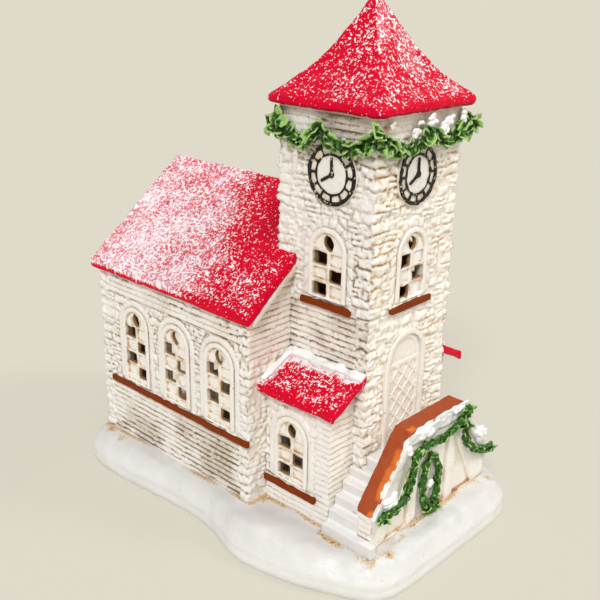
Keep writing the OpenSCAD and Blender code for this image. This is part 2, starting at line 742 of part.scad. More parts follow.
// Greenery is a lumpy cord with a flat back. On the tower it hangs in two swags a side.
function tower_corner(k) = [
    [-tower_half, 0], [tower_half, 0], [tower_half, tower_d], [-tower_half, tower_d]][wrap(k, 4)];
function tower_normal(k) = [[0, -1], [1, 0], [0, 1], [-1, 0]][wrap(k, 4)];
function lump(i) = 1 + 0.14 * sin(i * 137);
function swag_drop(t) = garland_droop * (1 - pow(2 * t - 1, 2));
function clock_mid(k) = [
    0.5 + clock_front_shift / tower_w, 0.5 - clock_left_shift / tower_d, no_clock,
    0.5 + clock_left_shift / tower_d][k];
function side_l(k) = k % 2 == 0 ? tower_w : tower_d;
function back_at(k, t) =
    let (away = abs(t - clock_mid(k)) * side_l(k) / clock_r)
    garland_back + (clock_back - garland_back) * max(0, min(1, (1.3 - away) / 0.35));
function garland_ring(k, i) =
    let (
        t = i / (2 * swag_steps),
        swag = wrap(i, swag_steps) / swag_steps,
        place = tower_corner(k) * (1 - t) + tower_corner(k + 1) * t,
        out = i == 0 ? (tower_normal(k) + tower_normal(k - 1)) * corner_share : tower_normal(k),
        swell = 1 + (anchor_swell - 1) * pow(abs(2 * swag - 1), 6),
        r = garland_r * lump(i + 20 * k) * swell,
        back = back_at(k, t),
        z = garland_z - swag_drop(swag))
    [for (a = [0:facet_fn - 1])
        let (
            turn = -360 * a / facet_fn,
            d = back + max(0, r * (0.8 + cos(turn))),
            p = place + out * d)
        [p[0], p[1], z + r * 1.15 * sin(turn)]];
module tower_garland() color(leaf_green) site()
    loft([for (k = [0:3], i = [0:2 * swag_steps - 1]) garland_ring(k, i)], true);

// Clocks: a white dial, two black rings with the hours between them, and hands at eight
function ring_in(share) = clock_r * share;
hour_ring_r = ring_in(0.68);
module at_clocks() { at_tower_faces(clock_z, clock_front_shift, clock_left_shift) children(); }
module clock_dials() color("#efece6") site() at_clocks() cylinder(h = dial_t, r = clock_r);
module clock_markings() color(paint_black) site() at_clocks()
    translate([0, 0, dial_t]) linear_extrude(mark_t) {
        difference() { circle(clock_r); circle(clock_r - rim_w); }
        difference() { circle(hour_ring_r); circle(hour_ring_r - mark_w); }
        for (hour = [0:11]) rotate(30 * hour)
            translate([-mark_w / 2, hour_ring_r - mark_w / 2]) square([mark_w, clock_r - hour_ring_r]);
    }
module hand(l, angle) {
    rotate(-angle) translate([-mark_w * 0.4, -mark_w]) square([mark_w * 0.8, l + mark_w]);
}
module clock_hands() color(paint_black) site() at_clocks()
    translate([0, 0, dial_t]) linear_extrude(mark_t) {
        circle(mark_w);
        hand(hour_ring_r - 1.5 * mark_w, 0);
        hand(hour_ring_r - 2 * mark_w, 240);
    }

// Door: an arched leaf with a transom and a lattice, in a shallow recess with a moulding
transom_z = door_h * 0.93;
module door_leaf() color(glaze) site() on_front(front_shift, 0) translate([0, landing_h, -door_recess_t]) {
    w = door_w - 2 * set_gap;
    linear_extrude(door_t) arch(w, door_h);
    frame_w = w * 0.09;
    translate([0, 0, door_t]) linear_extrude(lattice_w / 2) difference() {
        arch(w, door_h);
        translate([0, frame_w]) difference() {
            arch(w - 2 * frame_w, door_h - frame_w);
            translate([-w / 2, transom_z - frame_w]) square([w, frame_w]);
        }
    }
    translate([0, 0, door_t]) linear_extrude(lattice_w / 2) intersection() {
        translate([frame_w - w / 2, frame_w]) square([w - 2 * frame_w, transom_z - frame_w]);
        for (i = [-1:5], lean = [-45, 45]) translate([0, i * door_h / 5])
            rotate(lean) translate([-door_h, -lattice_w / 2]) square([2 * door_h, lattice_w]);
    }
}
module door_surround() color(glaze) site() on_front(front_shift, 0) translate([0, landing_h, 0])
    linear_extrude(trim_t) difference() {
        arch(door_w + 2 * door_trim_w, door_h);
        translate([0, -cut]) arch(door_w, door_h + cut);
    }

// Annexes: two thin walls under a lean-to roof, closed by the tower and the nave
function annex_top(w, out) = annex_h + (w - out) * tan(annex_pitch);
module annex_side_masonry(depth) {
    laps(quoin_l, depth, 0, annex_win_z - sill_drop);
    engraved() {
        difference() {
            union() {
                stones(quoin_l, depth, annex_win_z, annex_h);
                bed_joints(0, quoin_l, 0, annex_h);
                cross_joint(quoin_l, 0, annex_h - joint_w);
            }
            translate([annex_win_y, annex_win_z]) window_room(annex_win_w, annex_win_h);
        }
        translate([annex_win_y, annex_win_z]) ring_joint(annex_win_w, annex_win_h);
    }
}
module annex_walls(w) {
    depth = nave_setback - annex_setback;
    difference() {
        translate([0, nave_setback, 0]) rotate([90, 0, 0]) linear_extrude(depth) polygon([
            [-tower_half, 0], [-tower_half - w, 0],
            [-tower_half - w, annex_h], [-tower_half, annex_top(w, 0)]]);
        translate([annex_wall_t - tower_half - w, annex_setback + annex_wall_t, -cut])
            cube([w - annex_wall_t + cut, depth, annex_h + w + cut]);
        on_left(-tower_half - w, annex_setback) mirror([1, 0, 0]) annex_side_masonry(depth);
        on_front(0, annex_setback) laps(-tower_half - w, -tower_half, landing_h, annex_h);
        on_left(-tower_half - w, annex_setback + annex_win_y) translate([0, annex_win_z, 0])
            window_hole(annex_win_w, annex_win_h);
    }
}
module lean_to(w, lift, t, run, y0, y1) {
    z0 = annex_top(w, 0) + lift;
    z1 = annex_top(w, run) + lift;
    x0 = -tower_half;
    x1 = -tower_half - run;
    translate([0, y1, 0]) rotate([90, 0, 0]) linear_extrude(y1 - y0)
        polygon([[x0, z0], [x1, z1], [x1, z1 + t], [x0, z0 + t]]);
}
module annex_roof(w) { lean_to(w, 0, annex_slab_z, w + annex_lap, annex_setback - annex_lap, nave_setback); }
module annex_snow(w) {
    lean_to(w, annex_slab_z, roof_snow_t, roof_snow_w, annex_setback - annex_lap, nave_setback);
    lean_to(w, annex_slab_z, roof_snow_t, w + annex_lap * 0.7, nave_setback - roof_snow_w, nave_setback);
}
module to_right() { mirror([1, 0, 0]) children(); }
module left_annex_walls() color(glaze) site() annex_walls(left_annex_w);
module right_annex_walls() color(glaze) site() to_right() annex_walls(right_annex_w);
module left_annex_roof() color(roof_red) site() annex_roof(left_annex_w);
module right_annex_roof() color(roof_red) site() to_right() annex_roof(right_annex_w);
module annex_roof_snow() color(snow) site() {
    annex_snow(left_annex_w);
    to_right() annex_snow(right_annex_w);
}
module at_annex_windows(z) {
    on_left(-tower_half - left_annex_w, annex_setback + annex_win_y) translate([0, z, 0]) children();
    on_right(tower_half + right_annex_w, annex_setback + annex_win_y) translate([0, z, 0]) children();
}
module annex_windows() color(glaze) site()
    at_annex_windows(annex_win_z) window(annex_win_w, annex_win_h, side_rows);
module annex_sills() color(sill_brown) site()
    at_annex_windows(annex_win_z - trim_w / 2) sill(annex_win_w * 1.9);

// Stair: a landing before the door and a flight down to each side
module landing() color(snow) site()
    translate([-landing_w / 2, -stair_d, 0]) cube([landing_w, stair_d, landing_h]);
module flight() {
    difference() {
        union() {
            for (i = [1:treads])
                translate([-landing_w / 2 - i * tread_w, -stair_d, 0])
                    cube([tread_w, stair_d + annex_setback, landing_h - i * riser_h]);
            children();
        }
        tower_block(0);
    }
}
module left_steps() color(snow) site() flight()
    translate([-rail_half - slab_w, wall_front - slab_reach, 0])
        cube([slab_w, annex_setback - wall_front + slab_reach, slab_h]);
module right_steps() color(snow) site() to_right() flight();

// Stair wall: level in the middle and sloping down with the flights, with panels in its face
function rail_outline(lower, level_lower) = [
    [-rail_half, stair_end_h - lower], [-flat_half, stair_wall_h - level_lower],
    [flat_half, stair_wall_h - level_lower], [rail_half, stair_end_h - lower]];
rail_foot = [[rail_half, 0], [-rail_half, 0]];
post_w = stair_wall_w * 0.07;
panel_half = stair_wall_w * 0.13;
panel_low = stair_wall_h * 0.01;
module side_panel() {
    in = panel_half + post_w;
    polygon([
        [in, panel_low], [rail_half - post_w * 1.6, panel_low],
        [in, stair_wall_h * 0.66]]);
}
module stair_wall() color(glaze) site() difference() {
    on_front(0, -stair_d) linear_extrude(stair_wall_t)
        polygon(concat(rail_outline(coping_drop, coping_t), rail_foot));
    on_front(0, wall_front) translate([0, 0, -recess_t]) linear_extrude(recess_t + cut) {
        translate([-panel_half, panel_low]) square([2 * panel_half, stair_wall_h * 0.68]);
        side_panel();
        mirror([1, 0]) side_panel();
    }
}
module rail_strip(upper, upper_level, lower, lower_level) {
    top = rail_outline(upper, upper_level);
    low = rail_outline(lower, lower_level);
    polygon(concat(top, [for (i = [3:-1:0]) low[i]]));
}
module stair_coping() color(coping_brown) site()
    on_front(0, coping_lap - stair_d) linear_extrude(stair_wall_t + 2 * coping_lap)
        rail_strip(0, 0, coping_drop, coping_t);
border_drop = border_w / cos(rail_slope);
module stair_snow() color(snow) site()
    on_front(0, wall_front) linear_extrude(border_t)
        rail_strip(coping_drop, coping_t, coping_drop + border_drop, coping_t + border_w);

function face_point(q) = [q[0] * rail_half, q[1] * stair_wall_h];
function strand_ring(p, way, r, back) =
    let (side = [-way[1], way[0]] / norm(way))
    [for (a = [0:facet_fn - 1])
        let (turn = -360 * a / facet_fn, q = p + side * r * sin(turn))
        [q[0], wall_front - back - max(0, r * (0.8 + cos(turn))), q[1]]];
module strand(line, back, closed) {
    last = len(line) - 1;
    loft([for (i = [0:last])
        let (
            way = pick(line, i + 1, closed) - pick(line, i - 1, closed),
            swell = closed ? 1 + 0.5 * pow(max(0, -sin(360 * i / (last + 1) + 90)), 2) : 1)
        strand_ring(line[i], way, strand_r * lump(i) * swell, back)], closed);
}
module stair_garland() color(leaf_green) site() {
    strand(smooth_line([for (q = strand_shares) face_point(q)], 3, false), strand_back, false);
    strand(smooth_line([for (q = swag_shares) face_point(q)], 3, false), strand_back, false);
}

// Wreath on the middle panel, thickest at its foot
wreath_steps = 32;
module wreath() color(leaf_green) site() strand(
    [for (i = [0:wreath_steps - 1]) let (a = 90 + 360 * i / wreath_steps)
        [wreath_x + (wreath_w / 2 - strand_r) * cos(a), wreath_z + (wreath_h / 2 - strand_r) * sin(a)]],
    set_gap - recess_t, true);

// Tea light, drawn on the deck
module tea_site() { site() translate([0, tea_y, 0]) children(); }
module candle_shell() color(wax) tea_site() difference() {
    cylinder(h = tea_h, r = tea_r);
    translate([0, 0, -cut]) cylinder(h = dish_z - dish_t + cut, r = tea_r - tea_wall_t);
    translate([0, 0, dish_z]) cylinder(h = dish_drop + cut, r = tea_r - tea_wall_t);
    cylinder(h = tea_h, r = bore_r);
}
module lugs(w, r) { for (side = [0, 180]) rotate(side) translate([0, -w / 2]) square([r, w]); }
module candle_tray() color(wax) tea_site() difference() {
    union() {
        cylinder(h = tray_t, r = tea_r - tea_wall_t - set_gap);
        cylinder(h = board_z, r = well_r + well_t);
    }
    translate([0, 0, tray_t]) cylinder(h = board_z, r = well_r);
    translate([0, 0, -cut]) linear_extrude(tray_t + 2 * cut) {
        circle(cover_r + run_gap);
        rotate(twist_angle) intersection() { lugs(lug_w + 4 * run_gap, well_r); circle(well_r - run_gap); }
    }
    translate([-(knob_l + switch_travel) / 2 - run_gap, switch_y - knob_w / 2 - run_gap, -cut])
        cube([knob_l + switch_travel + 2 * run_gap, knob_w + 2 * run_gap, tray_t + 2 * cut]);
}
module battery_cover() color(wax) tea_site() difference() {
    union() {
        translate([0, 0, cover_lift]) cylinder(h = cover_top - cover_lift, r = cover_r);
        translate([0, 0, cover_top - lug_t + run_gap / 2]) linear_extrude(lug_t - run_gap / 2)
            intersection() { lugs(lug_w, well_r); circle(cover_r + lug_reach); }
    }
    translate([-cell_r * 0.6, -lug_t / 2, 0]) cube([cell_r * 1.2, lug_t, cover_lift + cover_t / 2]);
}
module coin_cell() color("silver") tea_site()
    translate([0, 0, cell_top - cell_h]) cylinder(h = cell_h, r = cell_r);
module battery_contacts() color("gold") tea_site() {
    translate([-cell_r * 0.7, -contact_w / 2, cell_top]) cube([cell_r * 0.5, contact_w, contact_t]);
    translate([cell_r + run_gap, -contact_w / 2, cover_top + run_gap])
        cube([spring_t, contact_w, board_z - cover_top - run_gap]);
}
module circuit_board() color("darkgreen") tea_site()
    translate([0, 0, board_z]) cylinder(h = board_t, r = well_r + well_t);
module led() color("white") tea_site() {
    foot = board_z + board_t;
    body_z = dish_z - led_lift;
    for (side = [-1, 1]) translate([side * lead_gap, 0, foot]) cylinder(h = body_z - foot, r = lead_r);
    translate([0, 0, body_z]) {
        cylinder(h = led_h, r = led_r);
        translate([0, 0, led_h]) sphere(led_r);
    }
}
module candle_flame() color("#ffd27a") tea_site() translate([0, 0, dish_z]) difference() {
    rotate_extrude() polygon(concat(
        [[0, 0], [foot_r, 0]],
        [for (t = [0.12:0.11:0.9]) [
            flame_r * pow(sin(180 * pow(1 - t, 0.72) * 0.82), 0.9), flame_h * t]],
        [[0, flame_h]]));
    translate([0, 0, -cut]) cylinder(h = led_h + led_r + cut, r = bore_r);
}
module switch_slider() color(paint_black) tea_site() {
    translate([-(knob_l + switch_travel) / 2, switch_y - knob_w / 2, cover_lift])
        cube([knob_l, knob_w, tray_t - cover_lift + run_gap]);
    translate([
        -(knob_l + switch_travel) / 2 - slider_edge,
        switch_y - knob_w / 2 - slider_edge / 2, tray_t + run_gap / 2])
        cube([knob_l + 2 * slider_edge, knob_w + slider_edge, slider_t]);
}

snow_base();
nave_walls();
nave_windows();
nave_sills();
nave_roof();
bargeboards();
tower_walls();
tower_windows();
tower_sills();
tower_roof();
tower_garland();
clock_dials();
clock_markings();
clock_hands();
door_leaf();
door_surround();
left_annex_walls();
left_annex_roof();
right_annex_walls();
right_annex_roof();
annex_windows();
annex_sills();
annex_roof_snow();
landing();
left_steps();
right_steps();
stair_wall();
stair_coping();
stair_snow();
stair_garland();
wreath();
candle_shell();
candle_tray();
candle_flame();
led();
circuit_board();
coin_cell();
battery_contacts();
battery_cover();
switch_slider();
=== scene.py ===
"""Looks of a glazed ceramic village house: a clock tower, a nave and two annexes on a snow base.

Sizes are in millimetres on the site: x is zero in the middle of the tower, y at the tower's front
and z at the snow's level. Blender's own units are metres.
"""
import math
from collections import namedtuple
from itertools import product

import bmesh
import bpy
import numpy as np
from mathutils import Matrix, Vector
from mathutils.bvhtree import BVHTree


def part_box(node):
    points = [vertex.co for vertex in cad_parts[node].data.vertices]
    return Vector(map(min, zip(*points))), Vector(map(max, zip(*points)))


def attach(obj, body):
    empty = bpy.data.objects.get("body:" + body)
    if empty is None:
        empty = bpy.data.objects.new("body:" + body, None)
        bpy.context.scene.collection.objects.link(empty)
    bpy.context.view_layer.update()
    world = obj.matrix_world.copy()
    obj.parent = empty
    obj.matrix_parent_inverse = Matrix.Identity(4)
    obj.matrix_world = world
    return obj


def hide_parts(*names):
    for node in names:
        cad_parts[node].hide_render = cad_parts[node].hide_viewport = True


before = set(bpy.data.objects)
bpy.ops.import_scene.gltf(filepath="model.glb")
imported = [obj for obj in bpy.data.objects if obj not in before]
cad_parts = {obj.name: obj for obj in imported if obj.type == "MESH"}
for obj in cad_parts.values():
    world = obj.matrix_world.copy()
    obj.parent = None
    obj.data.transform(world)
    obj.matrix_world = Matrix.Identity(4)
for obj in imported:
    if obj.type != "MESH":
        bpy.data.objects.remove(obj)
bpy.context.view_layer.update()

MM = 0.001
SITE = np.array([0.0, *list(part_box("tower_walls")[0])[1:]]) / MM
# Mesh points closer than this are one point, in metres
WELD = 0.002 * MM


def span(node):
    """Lowest and highest corner of a node, in site millimetres."""
    return [np.array(corner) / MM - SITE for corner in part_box(node)]


def solids_of(node):
    """Lowest and highest corner of each solid of a node, from left to right."""
    source = bmesh.new()
    source.from_mesh(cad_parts[node].data)
    bmesh.ops.remove_doubles(source, verts=source.verts, dist=WELD)
    left = set(source.verts)
    solids = []
    while left:
        reached = [left.pop()]
        for vertex in reached:
            near = {edge.other_vert(vertex) for edge in vertex.link_edges} & left
            left -= near
            reached += near
        corners = np.array([tuple(vertex.co) for vertex in reached]) / MM - SITE
        solids.append((corners.min(axis=0), corners.max(axis=0)))
    source.free()
    return sorted(solids, key=lambda solid: tuple(solid[0].round(1)))


# Noise and masonry patterns

def scatter(*cells):
    """A number from 0 to 1 for each lattice cell, the same on every run."""
    mixed = np.zeros(np.shape(cells[0]), np.uint32)
    for turn, cell in enumerate(cells):
        whole = np.asarray(cell).astype(np.int64).astype(np.uint32)
        mixed = (mixed + whole) * np.uint32(0x9E3779B1 + 2 * turn)
        mixed = (mixed ^ (mixed >> np.uint32(15))) * np.uint32(0x85EBCA77)
        mixed = mixed ^ (mixed >> np.uint32(13))
    return mixed / 2.0 ** 32


def grain(points, size, seed=0):
    """Smooth noise from -1 to 1, with lumps of a size in millimetres."""
    place = points / size
    cell = np.floor(place)
    part = place - cell
    part = part * part * (3 - 2 * part)
    total = np.zeros(len(points))
    for corner in product((0, 1), repeat=3):
        share = np.ones(len(points))
        for axis in range(3):
            share = share * (part[:, axis] if corner[axis] else 1 - part[:, axis])
        lattice = [cell[:, axis] + corner[axis] for axis in range(3)]
        total += share * scatter(*lattice, np.full(len(points), seed))
    return 2 * total - 1


def ease(value, low, high):
    """0 below low, 1 above high, and smooth between them."""
    part = np.clip((value - low) / (high - low), 0, 1)
    return part * part * (3 - 2 * part)


# Stones: the height of a course, the usual length of a stone, the length of a corner stone, and how
# far a joint sways from its place as a share of a stone. They lie where the solids have them
COURSE_H = 4.0
STONE_L = 8.5
QUOIN_L = 6.0
JOINT_SWAY = 0.2
# Height of one lapped row
LAP_PITCH = 2.5
# Stone number of a corner stone, which no other stone has
QUOIN = 900
# A distance beyond every piece
FAR = 1e3


def stones(u, v, edge):
    """Distance from a joint of the coursed stones, the row and number of each point's stone, and the
    point's height in its course, from -0.5 to 0.5. About half the stones are two thin ones."""
    row = np.floor(v / COURSE_H)
    bed = np.minimum(v - row * COURSE_H, (row + 1) * COURSE_H - v)
    half_bond = 0.5 * (row % 2)
    start = np.floor(u / STONE_L - half_bond)
    cross = np.full(len(u), FAR)
    stone = start.copy()
    for step in (-1, 0, 1, 2):
        k = start + step
        joint = (k + half_bond + JOINT_SWAY * np.sin(np.radians(row * 131 + k * 77))) * STONE_L
        cross = np.minimum(cross, np.abs(u - joint))
        stone = np.where(joint <= u, k, stone)
    quoin = edge < QUOIN_L
    cross = np.where(quoin, FAR, cross)
    stone = np.where(quoin, QUOIN, stone)
    thin = (scatter(row, stone, np.full(len(row), 7)) > 0.5) & ~quoin
    lift = v / COURSE_H - row - 0.5
    bed = np.where(thin, np.minimum(bed, np.abs(lift) * COURSE_H), bed)
    return np.minimum(bed, cross), row + np.where(thin & (lift > 0), 0.5, 0), stone, lift


def rubble(points, u, v, edge, seed):
    """Height of rock-faced stones, each tilted its own way, and how deep each point lies in a joint."""
    along = u + 1.1 * grain(points, 6, seed) + 0.5 * grain(points, 2.4, seed + 1)
    up = v + 0.9 * grain(points, 8, seed + 2) + 0.4 * grain(points, 2.6, seed + 3)
    gap, row, stone, lift = stones(along, up, edge)
    gap = np.maximum(gap + 0.4 * grain(points, 1.4, seed + 4), 0)
    own = [scatter(row, stone, np.full(len(row), seed + turn)) - 0.5 for turn in (5, 6)]
    face = ease(gap, 0, 1.0)
    rock = 0.75 * grain(points, 2.9, seed + 7) + 0.7 * grain(points, 1.4, seed + 8)
    height = face * (0.6 + 0.8 * own[0] + 0.7 * own[1] * lift) - 0.5 + rock * (0.3 + 0.7 * face)
    return height, 1 - ease(gap, 0.0, 0.5)


def laps(points, v, seed):
    """Height of lapped rows, each thickest at its lower edge, and the line under each edge."""
    wavy = v + 0.22 * grain(points, 9, seed) + 0.12 * grain(points, 2.5, seed + 1)
    part = wavy / LAP_PITCH - np.floor(wavy / LAP_PITCH)
    height = 0.5 * (1 - part) - 0.4 + 0.16 * grain(points, 1.8, seed + 2) + 0.1 * grain(points, 5, seed + 3)
    line = 1 - ease(np.minimum(part + 0.2, 1 - part) * LAP_PITCH, 0.1, 0.75)
    return height, line * ease(grain(points, 3.4, seed + 4), -0.9, 0.1)


def arch_gap(u, v, width, height):
    """Distance outside a round arched opening that stands at zero, and less than zero inside it."""
    flank = np.maximum(np.abs(u) - width / 2, -v)
    return np.where(v < height, flank, np.hypot(u, v - height) - width / 2)


# Meshes

def points_of(mesh):
    """A mesh's points in site millimetres."""
    flat = np.empty(3 * len(mesh.vertices))
    mesh.vertices.foreach_get("co", flat)
    return flat.reshape(-1, 3) / MM - SITE


def normals_of(mesh):
    """The way that each point of a mesh faces."""
    flat = np.empty(3 * len(mesh.vertices), np.float32)
    mesh.vertex_normals.foreach_get("vector", flat)
    return flat.reshape(-1, 3).astype(float)


def mark(mesh, name, values):
    """Keeps one number a point as an attribute that a glaze reads."""
    attribute = mesh.attributes.get(name) or mesh.attributes.new(name, "FLOAT", "POINT")
    attribute.data.foreach_set("value", np.asarray(values, np.float32))


def beside(mesh, values):
    """Mean of a number over each point's neighbours."""
    ends = np.empty(2 * len(mesh.edges), np.int32)
    mesh.edges.foreach_get("vertices", ends)
    one, other = ends.reshape(-1, 2).T
    size = len(mesh.vertices)
    total = np.bincount(one, values[other], size) + np.bincount(other, values[one], size)
    return total / np.maximum(np.bincount(one, minlength=size) + np.bincount(other, minlength=size), 1)


def hollowness(mesh, rounds=2):
    """How far each point lies below its neighbours, in tenths of a millimetre, evened out a little."""
    points = points_of(mesh)
    near = np.stack([beside(mesh, points[:, axis]) for axis in range(3)], 1)
    hollow = ((near - points) * normals_of(mesh)).sum(1) * 10
    for _ in range(rounds):
        hollow = beside(mesh, hollow)
    return hollow


def shape(mesh, points, marks):
    """Moves a mesh's points and keeps the marks for its glaze. The mark for wash in hollows stands for the
    wash that stays in them and partly for painted shade there, so it is worked out here and joins the wash."""
    mesh.vertices.foreach_set("co", ((points + SITE) * MM).ravel())
    mesh.update()
    hollow = hollowness(mesh)
    hollow_wash_and_shade = marks.pop("hollow_wash_and_shade", None)
    if hollow_wash_and_shade is not None:
        # Wash in the hollows, partly painted shade: hollows are darkened as shade would darken them
        marks["wash"] = marks.get("wash", 0) + hollow_wash_and_shade * ease(hollow, 0.03, 0.4)
    marks["hollow"] = hollow
    for name, values in marks.items():
        mark(mesh, name, np.broadcast_to(values, len(points)))


def skinned(name, source, voxel, soft):
    """One closed skin over everything in a bmesh, with its edges rounded by smoothing."""
    mesh = bpy.data.meshes.new(name)
    bmesh.ops.remove_doubles(source, verts=source.verts, dist=WELD)
    source.to_mesh(mesh)
    source.free()
    piece = bpy.data.objects.new(name, mesh)
    bpy.context.scene.collection.objects.link(piece)
    skin = piece.modifiers.new("skin", "REMESH")
    skin.mode = "VOXEL"
    skin.voxel_size = voxel * MM
    if soft:
        worn = piece.modifiers.new("worn", "SMOOTH")
        worn.iterations = soft
        worn.factor = 0.5
    done = piece.evaluated_get(bpy.context.evaluated_depsgraph_get())
    piece.data = bpy.data.meshes.new_from_object(done)
    piece.modifiers.clear()
    bpy.data.meshes.remove(mesh)
    piece.data.name = name
    piece.data.polygons.foreach_set("use_smooth", np.ones(len(piece.data.polygons), bool))
    return piece


def finish_piece(piece, slot, nodes, body="house"):
    """Gives a piece the finish of its slot and its body, and hides the CAD nodes that it stands for."""
    piece.data.materials.clear()
    piece.data.materials.append(FINISH[slot])
    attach(piece, body)
    if nodes:
        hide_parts(*nodes)
    return piece


def thinned(piece, keep):
    """Joins up the flatter faces of a piece until a share of them is left."""
    if keep < 1:
        thin = piece.modifiers.new("thin", "DECIMATE")
        thin.ratio = keep
        name = piece.data.name
        done = piece.evaluated_get(bpy.context.evaluated_depsgraph_get())
        piece.data = bpy.data.meshes.new_from_object(done)
        piece.modifiers.clear()
        piece.data.name = name
    return piece


def cast(name, node, slot, relief=None, voxel=0.42, soft=0, keep=1.0, body="house"):
    """Casts a CAD node again as one piece, with voxels of a size in millimetres. soft is how often
    its edges are smoothed, and keep the share of its faces that is left at the end. Its relief gives
    each point a height along its normal or a new place, and the marks for its glaze."""
    source = bmesh.new()
    source.from_mesh(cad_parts[node].data)
    piece = skinned(name, source, voxel, soft)
    if relief:
        points = points_of(piece.data)
        normals = normals_of(piece.data)
        moved, marks = relief(points, normals)
        if moved.ndim == 1:
            moved = points + normals * moved[:, None]
        shape(piece.data, moved, marks)
    return finish_piece(thinned(piece, keep), slot, [node], body)


# Finishes

def linear(code):
    """An sRGB hex colour as linear red, green, blue and alpha."""
    parts = [int(code[i:i + 2], 16) / 255 for i in (1, 3, 5)]
    return (*[c / 12.92 if c <= 0.04045 else ((c + 0.055) / 1.055) ** 2.4 for c in parts], 1.0)


def per_mm(size):
    """Scale of a texture whose lumps are a size in millimetres."""
    return 1 / (size * MM)


def add(tree, kind, inputs=None, out=0, **settings):
    """Adds one node with its settings and gives each input a value, a hex colour or a link. Returns
    one of its outputs. Inputs go by name or number: a Mix has its share at 0 and its colours at 6 and
    7, and a MapRange its value at 0, what that goes from and to at 1 and 2, and what these become at
    3 and 4, which are 0 and 1 where they aren't given."""
    node = tree.nodes.new("ShaderNode" + kind)
    for name, value in settings.items():
        setattr(node, name, value)
    for socket, value in (inputs or {}).items():
        if isinstance(value, bpy.types.NodeSocket):
            tree.links.new(value, node.inputs[socket])
        else:
            node.inputs[socket].default_value = linear(value) if isinstance(value, str) else value
    return node.outputs[out] if node.outputs else None


def new_finish(name, **sockets):
    """A material with one Principled shader and its sockets set, the tree for its pattern, and the
    object's own places that the pattern is drawn by."""
    made = bpy.data.materials.new(name)
    made.use_nodes = True
    tree = made.node_tree
    tree.nodes.clear()
    shader = add(tree, "BsdfPrincipled", {key.replace("_", " "): value for key, value in sockets.items()})
    add(tree, "OutputMaterial", {"Surface": shader})
    return made, tree, add(tree, "TexCoord", out="Object")


def joined(made, **patterns):
    """Links patterns to the sockets of a material's shader."""
    sockets = made.node_tree.nodes["Principled BSDF"].inputs
    for name, pattern in patterns.items():
        made.node_tree.links.new(pattern, sockets[name.replace("_", " ")])
    return made


def antiqued_cream_glaze():
    """Earthenware under a cream glaze, rubbed with a brown wash: it lies tan or grey in the hollows
    of the stones and umber in the deepest joints, and the glaze breaks the light softly. Painted
    light: the body and wash are warmer on faces in the sun and greyer on faces in shade, the wash in
    the hollows is partly painted shade, and the rooms and deep window reveals are a painted shade of
    brown."""
    made, tree, place = new_finish(
        "antiqued_cream_glaze", Roughness=0.5, IOR=1.45, Coat_Weight=0.35, Coat_Roughness=0.13)
    cloud = add(tree, "TexNoise", {"Vector": place, "Scale": per_mm(13), "Detail": 4.0})
    warm = add(tree, "Attribute", out="Fac", attribute_name="warm")
    # Painted light: shaded and sunlit copies of the cream body, picked by the warmth mark, which is high on
    # faces in the sun and low on faces in shade
    shaded_body = add(tree, "Mix", {0: cloud, 6: "#FAF7F2", 7: "#ECE6DE"}, out=2, data_type="RGBA")
    sunlit_body = add(tree, "Mix", {0: cloud, 6: "#FCF8F1", 7: "#F4EBDE"}, out=2, data_type="RGBA")
    body = add(tree, "Mix", {0: warm, 6: shaded_body, 7: sunlit_body}, out=2, data_type="RGBA")
    rub = add(tree, "TexNoise", {"Vector": place, "Scale": per_mm(0.8), "Detail": 3.0, "Roughness": 0.65})
    wash = add(tree, "Attribute", out="Fac", attribute_name="wash")
    broken = add(tree, "Math", {0: rub, 1: 0.5}, operation="SUBTRACT")
    uneven = add(tree, "Math", {0: broken, 1: 0.95, 2: wash}, operation="MULTIPLY_ADD")
    thin = add(tree, "MapRange", {0: uneven, 1: 0.12, 2: 0.7, 4: 0.9})
    thick = add(tree, "MapRange", {0: uneven, 1: 0.62, 2: 1.05, 4: 0.95})
    film = add(tree, "Mix", {0: warm, 6: "#B9AB9B", 7: "#D9B281"}, out=2, data_type="RGBA")
    dregs = add(tree, "Mix", {0: warm, 6: "#5F5142", 7: "#A0652F"}, out=2, data_type="RGBA")
    tinted = add(tree, "Mix", {0: thin, 6: body, 7: film}, out=2, data_type="RGBA")
    umber = add(tree, "Mix", {0: thick, 6: tinted, 7: dregs}, out=2, data_type="RGBA")
    speck = add(tree, "TexNoise", {"Vector": place, "Scale": per_mm(1.0), "Detail": 1.0})
    kiln = add(tree, "MapRange", {0: speck, 1: 0.72, 2: 0.78, 4: 0.75})
    specked = add(tree, "Mix", {0: kiln, 6: umber, 7: "#7A5C3E"}, out=2, data_type="RGBA")
    # Painted shade: the rooms' inner faces, the backs of the window frames and the reveals of open panes
    # take a brown for the dim inside
    inside = add(tree, "Attribute", out="Fac", attribute_name="inside")
    room = add(tree, "Mix", {0: inside, 6: specked, 7: "#A17A4A"}, out=2, data_type="RGBA")
    grit = add(tree, "Bump", {"Height": rub, "Distance": 0.4 * MM, "Strength": 0.7})
    return joined(made, Base_Color=room, Normal=grit)


